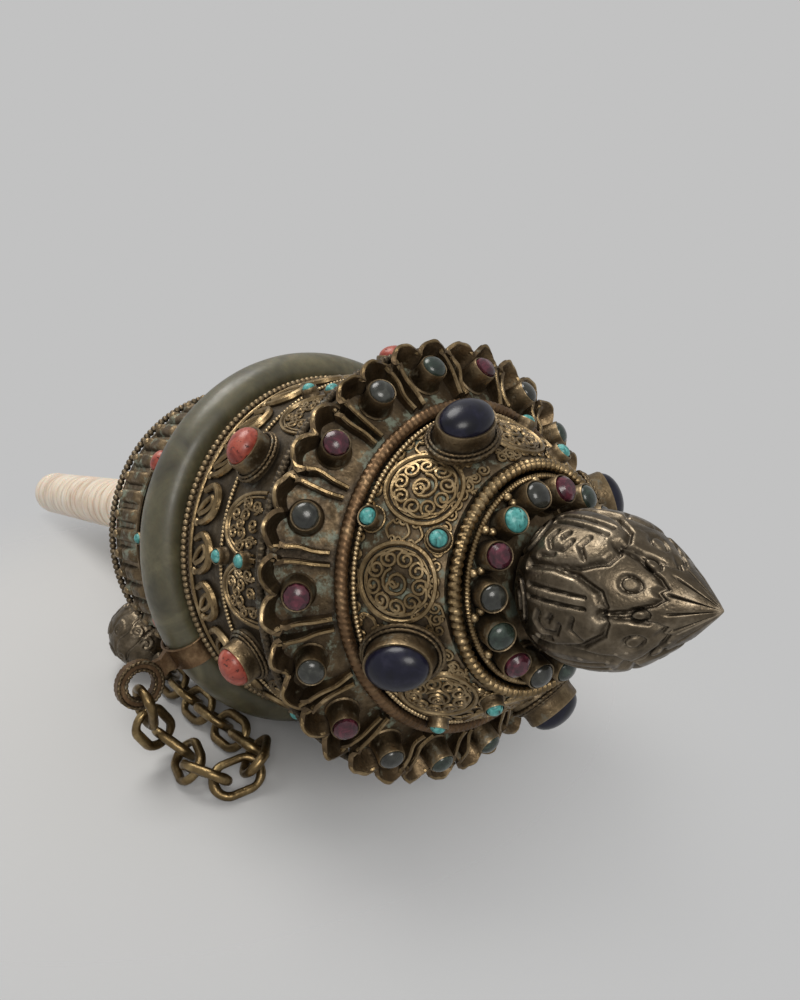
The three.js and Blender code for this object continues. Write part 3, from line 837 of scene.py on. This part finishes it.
def top_cups():
    cups, grains = Pile(), Pile()
    gems = {kind: Pile() for kind in TOP_LOOKS}
    height = TOP_CUP["height"]
    rng = np.random.default_rng(15)
    for k, kind in enumerate(TOP_STONES):
        angle = TOP_PHASE + TOP_STEP * k
        lean = math.radians(TOP_CUP["lean"] + rng.uniform(-4, 4))
        radial, across = compass(math.radians(angle))
        out = radial * math.sin(lean) + [0, 0, math.cos(lean)]
        seat = frame_of(across, out, radial * TOP_CUP["reach"] + [0, 0, plate_ring.top - 0.6])
        radius = TOP_CUP["radius"] * rng.uniform(0.93, 1.05)
        cup(cups, seat, radius, height, flare=0.95, lip=0.28, sink=0.8)
        steps, table = (12, 0.62) if kind == "r" else (24, 0.0)
        stone(gems[kind], seat, radius * 0.82, height - 0.3, 1.3, steps=steps, table=table)
        for share, reach in TOP_GRAINS:
            away, _ = compass(math.radians(angle + TOP_STEP * share))
            ball(grains, away * reach + [0, 0, plate_ring.top + 0.45], 0.75, rings=8, sides=12)
    piece("top_cups", cups, BEZEL, "lid")
    piece("top_grains", grains, GILT, "lid")
    stone_pieces(gems, TOP_LOOKS, "lid")


# ---- Finial: a chased lotus bud ----
BUD_PETALS = 6
GROOVE_RADIUS = 11  # mean radius of the bud and of the ball, by which a share becomes millimetres
BUD_ROWS, BUD_STEPS = 210, 360
BUD_WELL = 9.1  # depth of the hollow that the axle screws into
# Lines chased into each petal: (share of the petal's width, millimetres above the base).
BUD_PETAL = [(0.02, 6.4), (0.0, 11), (0.05, 15), (0.2, 18.2), (0.38, 18.9), (0.5, 18.0), (0.62, 18.9),
             (0.8, 18.2), (0.95, 15), (1.0, 11), (0.98, 6.4)]
BUD_HOOKS = ([(0.55, 9), (0.66, 8.3), (0.78, 9.4), (0.78, 11.6), (0.66, 12.4)],
             [(0.56, 14.6), (0.7, 13.9), (0.84, 15.2)], [(0.88, 8.0), (0.86, 10.4)],
             [(0.56, 11.2), (0.62, 10.6)])
BUD_LEAF = [(0.52, 18.4), (0.56, 21.4), (0.7, 24), (0.86, 24.9), (1.0, 24.2), (1.14, 24.9), (1.3, 24),
            (1.44, 21.4), (1.48, 18.4)]


def closed_ring(share, height, half, count):
    """A ring to chase, round (share, height); half gives its half width and half height."""
    ring = [tuple(point) for point in ring_drawing((share, height), half, count)]
    return ring + ring[:1]


def bud_lines(tip):
    """Every line chased into a petal of the bud, with its width and depth."""
    yield BUD_PETAL, 0.5, 0.95
    for share in (0.24, 0.38):
        yield [(share, 7.2), (share + 0.05, 16.4)], 0.3, 0.6
    for hook in BUD_HOOKS:
        yield hook, 0.34, 0.6
    yield BUD_LEAF, 0.45, 0.8
    for share, size, height in ((1.0, 0.13, 21.4), (0.5, 0.11, 22.6)):
        yield closed_ring(share, height, (size, size * 9), 12), 0.3, 0.55
    for share in (0.5, 1.0):
        yield [(share, 25.6), (share, tip - 0.8)], 0.4, 0.5
    for size, depth in ((0.36, 0.8), (0.2, 0.6)):
        yield closed_ring(0.5, 3.4, (size, size * 8), 16), 0.34, depth


def groove(turn, height, line, width, depth, repeat):
    """Depth of a groove or ridge along a (share, height) line that repeats round a bud or ball."""
    share = (turn / TAU * repeat) % 1.0
    nearest = np.full(turn.shape, 9.0)
    scale = TAU * GROOVE_RADIUS / repeat
    for shift in (-1, 0, 1):
        for start, end in zip(line[:-1], line[1:]):
            a = np.array([(start[0] + shift) * scale, start[1]])
            b = np.array([(end[0] + shift) * scale, end[1]])
            ab = b - a
            px, py = share * scale - a[0], height - a[1]
            t = np.clip((px * ab[0] + py * ab[1]) / (ab @ ab + 1e-12), 0, 1)
            nearest = np.minimum(nearest, np.hypot(px - t * ab[0], py - t * ab[1]))
    return depth * np.exp(-((nearest / width) ** 2))


def finial_bud():
    bud = Pile()
    points = meridian("finial")
    base, tip = points[:, 1].min(), points[:, 1].max()
    bore = points[:, 0][points[:, 1] < base + 0.1].min()
    shape = np.unique(points[points[:, 0] > bore + 0.5].round(2), axis=0)
    shape = smooth_line(shape[np.argsort(shape[:, 1])], 120)
    shape = np.vstack([shape, [(0.5, tip - 0.3), (POLE, tip)]])
    at = np.linspace(0, len(shape) - 1, BUD_ROWS)
    radius, height = (np.interp(at, np.arange(len(shape)), column) for column in shape.T)
    turn = np.broadcast_to(turns(BUD_STEPS), (BUD_ROWS, BUD_STEPS))
    level = np.broadcast_to(height[:, None], turn.shape)
    relief = np.zeros(turn.shape)
    for line, width, depth in bud_lines(tip - base):
        relief -= groove(turn, level - base, line, width, depth, BUD_PETALS)
    fade = np.clip((tip - level) / 3.0, 0, 1) * np.clip(level - base, 0, 1)
    reach = np.maximum(radius[:, None] + relief * fade, POLE)
    grid = np.stack([reach * np.cos(turn), reach * np.sin(turn), level], -1)
    hollow = ((POLE, base + BUD_WELL), (bore, base + BUD_WELL), (bore, base))
    well = np.stack([around(size, at_height, BUD_STEPS)[0] for size, at_height in hollow])
    everything = np.concatenate([well, grid])
    bud.add(everything, grid_faces(len(everything), BUD_STEPS))
    piece("finial_bud", bud, PEWTER, "finial", ["finial"], sharp=50)


# ---- Upper drum: comma scrolls, panels, turquoise and corals ----
COMMAS = 24
COMMA_PHASE = 5
COMMA_HOOK = [(-2.5, -2.1), (-3.6, 1.1), (-1.6, 3.6), (1.4, 3.3), (3.3, 0.5), (3.7, -2.1)]
COMMA_LEAF = [(1.9, -2.7), (-0.3, -1.1), (-1.5, 1.1), (-0.2, 1.9), (1.1, 0.5), (2.1, -2.1)]
PANEL_ANGLES = (69, 89)
PANEL_STEP = 60
# The curls of a panel, as shares of its width and height.
PANEL_CURLS = [(-0.27, 0.28), (0.0, 0.3), (0.27, 0.28), (-0.3, 0.0), (0.3, 0.0), (-0.13, 0.03),
               (0.14, -0.02), (-0.14, -0.25), (0.14, -0.25), (0.0, -0.1)]
PANEL_SIZE = (12.0, 10.4)
TURQUOISE_ANGLE = 79.3
# Heights on the wheel, of which the crown's plane is zero.
COMMA_HEIGHT, ROPE_LINE, PANEL_HEIGHT, TURQUOISE_HEIGHT, CURL_HEIGHT = -28.0, -20.4, -14.6, -12.4, -8.4


def upper_shell():
    sheet = Pile()
    inner = Span("upper_sleeve").inner
    fine = np.linspace(0, UPPER_SKIN.length, 40)
    outer = np.stack(UPPER_SKIN.edge(fine), -1)
    lathe(sheet, np.vstack([outer, [(inner, outer[-1, 1]), (inner, outer[0, 1])]]))
    piece("upper_shell", sheet, DARK, "drum", ["upper_sleeve"])


def comma_scrolls():
    hooks, leaves = Pile(), Pile()
    hook, leaf = smooth_line(COMMA_HOOK, 26), smooth_line(COMMA_LEAF, 22)
    thick = 0.9 * np.sin(np.linspace(0.45, math.pi - 0.3, len(hook))) ** 0.5
    along = UPPER_SKIN.along(COMMA_HEIGHT)
    for k in range(COMMAS):
        angle = COMMA_PHASE + 360 / COMMAS * k
        draw_wire(hooks, UPPER_SKIN, angle, along, hook, thick, lift=0.45, sides=8)
        draw_wire(leaves, UPPER_SKIN, angle, along, leaf, 0.55, lift=0.35, sides=7)
        end, out = UPPER_SKIN.draw(angle, along, [(3.7, -2.8)], 0.35)
        ball(hooks, end[0], 0.85, rings=8, sides=12, squash=0.7, up=out[0])
    piece("comma_scrolls", hooks, GILT, "drum")
    piece("comma_leaves", leaves, GILT, "drum")


def upper_lines():
    beads, lines, rope_line = Pile(), Pile(), Pile()
    bead_ring(beads, jade_beads.radius, jade_beads.height, 0.72, 1.24)
    piece("jade_bead_row", beads, BEZEL, "drum", ["jade_bead_ring"])
    low = UPPER_SKIN.edge(1.3)
    ring_wire(lines, low[0] + 0.3, low[1], 0.42)
    top = UPPER_SKIN.edge(UPPER_SKIN.length - 0.8)
    ring_wire(lines, top[0] + 0.25, top[1], 0.45)
    piece("upper_plain_wires", lines, GILT, "drum")
    line = UPPER_SKIN.edge(UPPER_SKIN.along(ROPE_LINE))
    bead_ring(rope_line, line[0] + 0.3, line[1], 0.42, 0.78)
    piece("upper_bead_line", rope_line, GILT, "drum")


def panel(pile, skin, angle, along, width, height, thick, hand):
    """An arch of wire filled with spirals."""
    share = np.linspace(0, math.pi, 30)
    arch = np.stack([width * np.cos(share) / 2, height * (0.5 - np.sin(share) ** 0.75)], 1)
    for grow, size in ((1.0, thick * 1.2), (0.86, thick * 0.75)):
        draw_wire(pile, skin, angle, along, arch * [grow, grow], size)
    for k, (x, y) in enumerate(PANEL_CURLS):
        curl = spiral((x * width, y * height), height * 0.125, 1.4, 60 * k, hand if k % 2 else -hand)
        draw_wire(pile, skin, angle, along, curl, thick * 0.85)
    for side in (-1, 1):
        start, end = (-width * 0.2 * side, height * 0.42), (-width * 0.34 * side, -height * 0.12)
        scroll = c_scroll(start, end, 0.5, 0.4, side)
        draw_wire(pile, skin, angle, along, scroll, thick * 0.85)


def upper_panels():
    wires, cups, gems = Pile(), Pile(), Pile()
    along = UPPER_SKIN.along(PANEL_HEIGHT)
    for k in range(360 // PANEL_STEP):
        for hand, angle in zip((-1, 1), PANEL_ANGLES):
            panel(wires, UPPER_SKIN, angle + PANEL_STEP * k, along, *PANEL_SIZE, 0.32, hand)
        middle = TURQUOISE_ANGLE + PANEL_STEP * k
        for height in (ROPE_LINE + 0.6, TURQUOISE_HEIGHT):
            seat = UPPER_SKIN.seat(middle, UPPER_SKIN.along(height))
            cup(cups, seat, 1.6, 1.9, lip=0.26)
            stone(gems, seat, 1.25, 1.6, 1.0, steps=18)
        for side in (-1, 1):
            curl = spiral((0, 0), 0.9, 1.3, 90, side)
            draw_wire(wires, UPPER_SKIN, middle + side * 2.4, UPPER_SKIN.along(CURL_HEIGHT), curl, 0.24)
    piece("upper_filigree", wires, GILT, "drum")
    piece("upper_turquoise_cups", cups, BEZEL, "drum")
    piece("upper_turquoise", gems, TURQUOISE, "drum")


# ---- Jade ring and its clamp ----
def jade_section():
    """The jade ring's centre off the spin axis, its own radius, and its half depth and half width."""
    local = wheel_points("jade_ring")
    centre = (local.min(0) + local.max(0)) / 2 * [1, 1, 0]
    reach = np.linalg.norm((local - centre)[:, :2], axis=1)
    half_width = (local[:, 2].max() - local[:, 2].min()) / 2
    return centre, (reach.max() + reach.min()) / 2, (reach.max() - reach.min()) / 2, half_width


def jade():
    ring = Pile()
    centre, radius, half_depth, half_width = jade_section()
    seat = np.eye(4)
    seat[:3, 3] = centre
    lathe(ring, ring_drawing((radius, jade_span.height), (half_depth, half_width), 28), 240, seat)
    piece("jade_bangle", ring, JADE, "drum", ["jade_ring"], sharp=80)


CLAMP_BAND = [(-2.5, -0.3), (2.5, -0.3), (2.6, 0.0), (2.4, 0.35), (1.9, 0.2), (-1.9, 0.2), (-2.4, 0.35),
              (-2.6, 0.0)]
EYE_SECTION = [(-1.15, -0.7), (0.0, -1.05), (1.15, -0.7), (1.15, 0.7), (0.0, 1.05), (-1.15, 0.7)]
EYE = {"radius": 3.9, "wire": 1.1, "rope": 0.45}
STRAP_GAP = 0.5  # from the jade to the middle of the strap
TAB_HALF = 0.75  # half the thickness of the tab between strap and eye


def ring_clamp():
    """A strap round the jade ring, a tab, and an eye with rope edges for the chain."""
    clamp, trim = Pile(), Pile()
    centre, radius, half_depth, half_width = jade_section()
    local = wheel_points("ring_clamp") - centre
    far = local[np.hypot(local[:, 0], local[:, 1]).argmax()]
    radial, across = compass(math.atan2(far[1], far[0]))
    up = np.array([0.0, 0, 1])
    level = centre + up * jade_span.height
    eye_outer = (local @ radial).max()
    strap = loop(level + radial * radius, (half_depth + STRAP_GAP, half_width + STRAP_GAP), radial, up, 60)
    sweep(clamp, strap, loop(np.zeros(3), (1, 1), radial, up, 60), np.array(CLAMP_BAND), closed=True)
    eye = level + radial * (eye_outer - EYE["radius"] - EYE["wire"])
    sweep(clamp, loop(eye, (EYE["radius"],) * 2, radial, across, 60), up, np.array(EYE_SECTION), closed=True)
    for side in (-1, 1):
        for size in (EYE["radius"] - 0.75, EYE["radius"] + 0.75):
            edge = loop(eye + up * side * 0.85, (size, size), radial, across, 150)
            rope(trim, edge, up, EYE["rope"], 0.95, depth=0.4)
    start, end = radius + half_depth + 0.4, eye_outer - 2 * EYE["radius"] - EYE["wire"]
    steps = np.linspace(start - 0.6, end, 12)
    widths = np.interp(steps, [start, (start + end) / 2, end], [2.5, 1.7, 2.3])
    section = stretched([(-1, -1), (1, -1), (1, 1), (-1, 1)], widths, TAB_HALF)
    sweep(clamp, level + radial * steps[:, None], up, section)
    piece("clamp_strap", clamp, COPPER, "drum", ["ring_clamp"])
    piece("clamp_ropes", trim, BEZEL, "drum")


# ---- Lower cap: bead rim, repousse petals, small corals ----
LOWER_ROPE = -62.2  # height of the rope between the band and the cap's wall
PETAL = {"count": 48, "phase": 5.8, "half_width": 1.8, "half_length": 4.9, "height": 1.9}


def lower_cap():
    shell, lines = Pile(), Pile()
    sleeve = Span("lower_sleeve")
    lathe(shell, [(sleeve.outer, sleeve.bottom), (sleeve.outer, sleeve.top), (sleeve.inner, sleeve.top),
                  (sleeve.inner, sleeve.bottom)])
    piece("lower_shell", shell, DARK, "drum", ["lower_sleeve"])
    petal_blocks()
    base_rim()
    ring_rope(lines, sleeve.outer + 0.3, LOWER_ROPE, 0.55, 0.7)
    ring_rope(lines, sleeve.outer + 0.3, sleeve.top - 0.8, 0.5, 0.7)
    piece("lower_ropes", lines, GILT, "drum")
    base_disc()


def petal_blocks():
    """A band of raised blocks with a bead at the end of each."""
    band, beads = Pile(), Pile()
    span = Span("petal_band")
    floor_radius = span.outer - 0.9
    lathe(band, [(floor_radius, span.bottom), (floor_radius, span.top), (span.inner, span.top),
                 (span.inner, span.bottom)])
    skin = Skin([(floor_radius - 0.05, span.bottom), (floor_radius - 0.05, span.top)])
    u, v = np.meshgrid(np.linspace(-1, 1, 13), np.linspace(-1, 1, 17))
    block = np.clip(1.25 * (1 - np.abs(u) ** 3) * (1 - np.abs(v) ** 6), 0, 1)
    block -= 0.35 * np.exp(-(((v + 0.25) / 0.12) ** 2))
    block = np.maximum(block, 0) * (1 - 0.35 * (v + 1) / 2)
    drawing = np.stack([u * PETAL["half_width"], v * PETAL["half_length"]], -1).reshape(-1, 2)
    for k in range(PETAL["count"]):
        angle = PETAL["phase"] + 360 / PETAL["count"] * k
        points, _ = skin.draw(angle, skin.length / 2, drawing, block.reshape(-1) * PETAL["height"])
        band.add(points, grid_faces(17, 13, wrap_columns=False))
        dot, out = skin.draw(angle, skin.length / 2, [(0, -3.2)], 1.6)
        ball(beads, dot[0], 1.05, rings=8, sides=10, squash=0.7, up=out[0])
    piece("petal_blocks", band, PATINA, "drum", ["petal_band"])
    piece("petal_dots", beads, BEZEL, "drum")


def base_rim():
    edge = Pile()
    rim = Span("base_bead_rim")
    bead_ring(edge, rim.outer - 0.75, rim.height, 0.85, 1.3)
    ring_wire(edge, rim.outer - 1.8, rim.height + 1.1, 0.5)
    piece("base_beads", edge, DARK, "drum", ["base_bead_rim"])


def base_disc():
    """The base plate with two turned ridges, and a wire lotus on its underside between them."""
    base, lotus = Pile(), Pile()
    plate = Span("base_plate")
    low, ridge = plate.bottom, plate.bottom - 0.5
    ridges = [point for start in (8, 27) for point in
              ((start, low), (start + 0.4, ridge), (start + 1.4, ridge), (start + 1.8, low))]
    lathe(base, [(plate.inner, low)] + ridges + [(plate.outer, low), (plate.outer, plate.top),
                                                 (plate.inner, plate.top)])
    piece("base_disc", base, BEZEL, "drum", ["base_plate"])
    under = Skin([(9.8, low), (27, low)])
    petal = smooth_line([(-2.2, 1.0), (-3.3, 7.5), (0, 15.5), (3.3, 7.5), (2.2, 1.0)], 26)
    curl = spiral((0, 0), 1.7, 1.5, 90)
    for k in range(16):
        for along, drawing, drop, thick in ((0, petal, 0.25, 0.36), (7.0, curl, 0.2, 0.28)):
            path, _ = under.draw(22.5 * k, along, drawing)
            wire(lotus, path - [0, 0, drop], (0, 0, -1.0), thick)
    piece("base_lotus_wires", lotus, GILT, "drum")


LOWER_CORAL = {"angle": 52, "height": -58, "oval": (1.0, 0.8)}
LOWER_TURQUOISE = {"angle": 81, "height": -62}


def lower_stones():
    cups, corals, greens = Pile(), Pile(), Pile()
    for k in range(6):
        seat = LOWER_SKIN.seat(LOWER_CORAL["angle"] + 60 * k, LOWER_SKIN.along(LOWER_CORAL["height"]))
        cup(cups, seat, 3.1, 3.2, flare=0.95, oval=LOWER_CORAL["oval"])
        stone(corals, seat, 2.5, 3.0, 1.4, oval=LOWER_CORAL["oval"])
        seat = LOWER_SKIN.seat(LOWER_TURQUOISE["angle"] + 60 * k, LOWER_SKIN.along(LOWER_TURQUOISE["height"]))
        cup(cups, seat, 1.5, 1.6, lip=0.26)
        stone(greens, seat, 1.15, 1.4, 0.9, steps=18)
    piece("lower_cups", cups, BEZEL, "drum")
    piece("lower_corals", corals, CORAL, "drum")
    piece("lower_turquoise", greens, TURQUOISE, "drum")


# ---- Chain, weight ball and handle ----
def chain_links():
    """Each link is an oval of worn round wire, fitted to its CAD link."""
    names = sorted(name for name in frame["nodes"] if name.startswith("chain_link_"))
    turn = turns(48)
    for index, name in enumerate(names):
        points = node_points(name) / MM
        centre = points.mean(0)
        _, _, directions = np.linalg.svd(points - centre, full_matrices=False)
        along, side, flat = directions
        length, width, thick = np.abs((points - centre) @ directions.T).max(0)
        bend, straight = width - thick, length - width
        shift = np.where(np.sin(turn) >= 0, straight, -straight)
        path = centre + np.outer(np.sin(turn) * bend + shift, along) + np.outer(np.cos(turn) * bend, side)
        worn = 1 + 0.1 * np.sin(turn * 2 + index) + 0.05 * np.sin(turn * 5 + 2 * index)
        section = circle_outline(thick * worn * 0.96, 12) * [1.0, 1.05]
        link = Pile()
        sweep(link, path, flat, section, closed=True)
        piece(f"{name}_forged", link, CHAIN, f"link_{index + 1:02d}", [name], local=False)


BALL_ROWS, BALL_STEPS = 150, 220
BALL_BELTS = ((-8.5, 4), (-4.2, 6), (0.2, 7), (4.6, 6), (8.8, 4))  # height in millimetres, scrolls round
NECK_WIRE = 1.15


def ball_relief(level, turn):
    """Belts of scrolls raised on the ball, with a wavy line under each."""
    relief = np.zeros(level.shape)
    rng = np.random.default_rng(9)
    for row, (height, repeat) in enumerate(BALL_BELTS):
        curl = spiral((0.5 + 0.1 * row, 0), 0.24, 1.4, rng.uniform(0, 360), 1 if row % 2 else -1)
        relief += groove(turn, level, [(x, height + y * 7.5) for x, y in curl], 0.42, 0.6, repeat)
        wave = [(share, height - 2.1 + 0.5 * math.cos(TAU * share)) for share in np.linspace(0, 1, 7)]
        relief -= groove(turn, level, wave, 0.35, 0.4, repeat)
    return np.clip(relief, -0.35, 0.3)


def weight():
    """The chased ball with its neck, and the ring that hangs in the last link."""
    chased = Pile()
    low, high = (np.array(corner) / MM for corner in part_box("weight_ball"))
    points = node_points("weight_ball") / MM
    radius = (high[1] - low[1]) / 2
    centre = np.array([low[0] + radius, (low[1] + high[1]) / 2, low[2] + radius])
    beyond = points[np.linalg.norm(points - centre, axis=1) > radius * 1.1]
    toward = unit(beyond.mean(0) - centre)
    rim = beyond - centre - np.outer((beyond - centre) @ toward, toward)
    side = np.linalg.svd(rim, full_matrices=False)[2][0]
    third = np.cross(toward, side)
    fall = np.linspace(0.001, math.pi - 0.001, BALL_ROWS)[:, None]
    turn = turns(BALL_STEPS)[None]
    relief = ball_relief((math.pi / 2 - fall) * radius + 0 * turn, turn + 0 * fall)
    reach = radius * 0.985 + relief - 0.15
    direction = (np.cos(fall)[..., None] * toward + np.sin(fall)[..., None]
                 * (np.cos(turn)[..., None] * side + np.sin(turn)[..., None] * third))
    chased.add(centre + reach[..., None] * direction, grid_faces(BALL_ROWS, BALL_STEPS))
    far = ((beyond - centre) @ toward).max()
    ring_radius = np.abs(rim @ side).max() - NECK_WIRE
    middle = centre + toward * (far - ring_radius - NECK_WIRE)
    wire(chased, loop(middle, (ring_radius,) * 2, toward, side, 40), third, NECK_WIRE, 12, closed=True)
    neck = np.linspace(radius - 1.2, far - 2 * ring_radius - NECK_WIRE, 8)
    wire(chased, centre + np.outer(neck, toward), side, np.linspace(2.6, 1.35, 8), 20)
    piece("weight_chased", chased, PEWTER, "weight", ["weight_ball"], local=False)


GRIP = {"discs": 24, "bore": 2.4, "gap": 0.03, "chamfer": 0.28, "butt_chamfer": 2.4}


def handle_discs():
    """Discs of uneven thickness that taper together towards the butt."""
    discs = Pile()
    grip = Span("handle_grip")
    narrow = meridian("handle_grip")
    narrow = narrow[np.abs(narrow[:, 1] - grip.bottom - GRIP["butt_chamfer"]) < 0.2][:, 0].max()
    rng = np.random.default_rng(5)
    thickness = rng.uniform(5.6, 8.0, GRIP["discs"])
    shares = np.concatenate([[0], thickness.cumsum()]) / thickness.sum()
    for start, stop in zip(shares[:-1], shares[1:]):
        low, high = (grip.bottom + share * (grip.top - grip.bottom) for share in (start, stop))
        bottom, top = narrow + (grip.outer - narrow) * np.array([start, stop]) + rng.uniform(-0.12, 0.02, 2)
        end = GRIP["butt_chamfer"] if start == 0 else GRIP["chamfer"]
        first, last = low + GRIP["gap"], high - GRIP["gap"]
        lathe(discs, [(GRIP["bore"], first), (bottom - end, first), (bottom - end * 0.3, low + end * 0.3),
                      (bottom, low + end), ((bottom + top) / 2 + 0.08, (low + high) / 2), (top, high - 0.3),
                      (top - 0.3, last), (GRIP["bore"], last)], 96)
    piece("handle_disc_stack", discs, SHELL, "handle", ["handle_grip"])


def hidden_nodes():
    """CAD nodes whose shape is right keep it and get a finished material."""
    turned = ("handle_ferrule", "thrust_washer", "butt_plug", "base_bush", "core_tube", "top_bush")
    looks = {"axle_rod": STEEL, "barrel": COPPER, "mantra_scroll": PAPER} | dict.fromkeys(turned, BEZEL)
    for name, look in looks.items():
        node = frame["nodes"][name]
        node.data.materials.clear()
        node.data.materials.append(look)


def build():
    hidden_nodes()
    crown_flange()
    crown_cells()
    crown_stones()
    crown_ropes()
    dome_shell()
    dome_filigree()
    dome_stones()
    oval_cups("lapis", 4, LAPIS, 0.55, "lid")
    lid_top()
    top_cups()
    finial_bud()
    upper_shell()
    comma_scrolls()
    upper_lines()
    upper_panels()
    oval_cups("coral", 6, CORAL, 0.5, "drum")
    jade()
    ring_clamp()
    lower_cap()
    lower_stones()
    chain_links()
    weight()
    handle_discs()


# ---- Studio ----
CAMERA_OFFSET = Vector((0.09999, -0.09802, 0.05403))  # from the crown's centre, in metres
CAMERA_AHEAD = Vector((-0.74964, 0.59602, -0.28773))
LENS, SENSOR, SHIFT = 28.015, 36, 0.0355
BACKDROP = (0.539, 0.539, 0.539)
FLOOR = (0.46, 0.46, 0.46)
FLOOR_RADIUS, FLOOR_DROP = 1.5, 0.0002
FLOOR_FADE = (0.05, 0.17)  # the floor turns into the backdrop between these distances
LIT_POINT = (0.06, 0, 0.04)


def camera():
    data = bpy.data.cameras.new("camera")
    data.lens = LENS
    data.sensor_width = SENSOR
    data.shift_x = SHIFT
    data.clip_start = 0.005
    made = bpy.data.objects.new("camera", data)
    made.location = Vector(CENTRE) + CAMERA_OFFSET
    made.rotation_euler = CAMERA_AHEAD.to_track_quat("-Z", "Y").to_euler()
    bpy.context.scene.collection.objects.link(made)
    bpy.context.scene.camera = made


def floor():
    """A pale floor that fades into the backdrop far from the object."""
    paint = Paint("floor")
    paint.set(Base_Color=FLOOR, Roughness=0.9, Specular_IOR_Level=0.1)
    distance = paint.node("ShaderNodeVectorMath", operation="LENGTH")
    paint.link(paint.place, distance.inputs[0])
    fade = paint.node("ShaderNodeMapRange", interpolation_type="SMOOTHSTEP")
    fade.inputs["From Min"].default_value, fade.inputs["From Max"].default_value = FLOOR_FADE
    paint.link(distance.outputs["Value"], fade.inputs["Value"])
    clear = paint.node("ShaderNodeBsdfTransparent")
    blend = paint.node("ShaderNodeMixShader")
    paint.link(fade.outputs["Result"], blend.inputs[0])
    paint.link(paint.shader.outputs[0], blend.inputs[1])
    paint.link(clear.outputs[0], blend.inputs[2])
    paint.link(blend.outputs[0], paint.tree.nodes["Material Output"].inputs["Surface"])
    mesh = bpy.data.meshes.new("floor")
    points = around(FLOOR_RADIUS, -FLOOR_DROP, 64)[0]
    mesh.from_pydata(points.tolist(), [], [list(range(64))])
    mesh.materials.append(paint.material)
    made = bpy.data.objects.new("floor", mesh)
    bpy.context.scene.collection.objects.link(made)


def area_light(name, place, size, power, colour):
    """A round soft light that points at the middle of the drum."""
    data = bpy.data.lights.new(name, "AREA")
    data.shape = "DISK"
    data.size = size
    data.energy = power
    data.color = colour
    made = bpy.data.objects.new(name, data)
    made.location = place
    made.rotation_euler = (Vector(LIT_POINT) - Vector(place)).to_track_quat("-Z", "Y").to_euler()
    bpy.context.scene.collection.objects.link(made)


def studio():
    world = bpy.data.worlds.new("studio")
    world.use_nodes = True
    world.node_tree.nodes["Background"].inputs["Color"].default_value = BACKDROP + (1,)
    bpy.context.scene.world = world
    bpy.context.scene.view_settings.view_transform = "Standard"
    area_light("key", (-0.2, -0.1, 0.8), 0.5, 4.6, (1.0, 0.98, 0.94))
    area_light("front", (0.7, -0.35, 0.5), 0.4, 3.3, (1.0, 0.97, 0.92))


build()
camera()
floor()
studio()
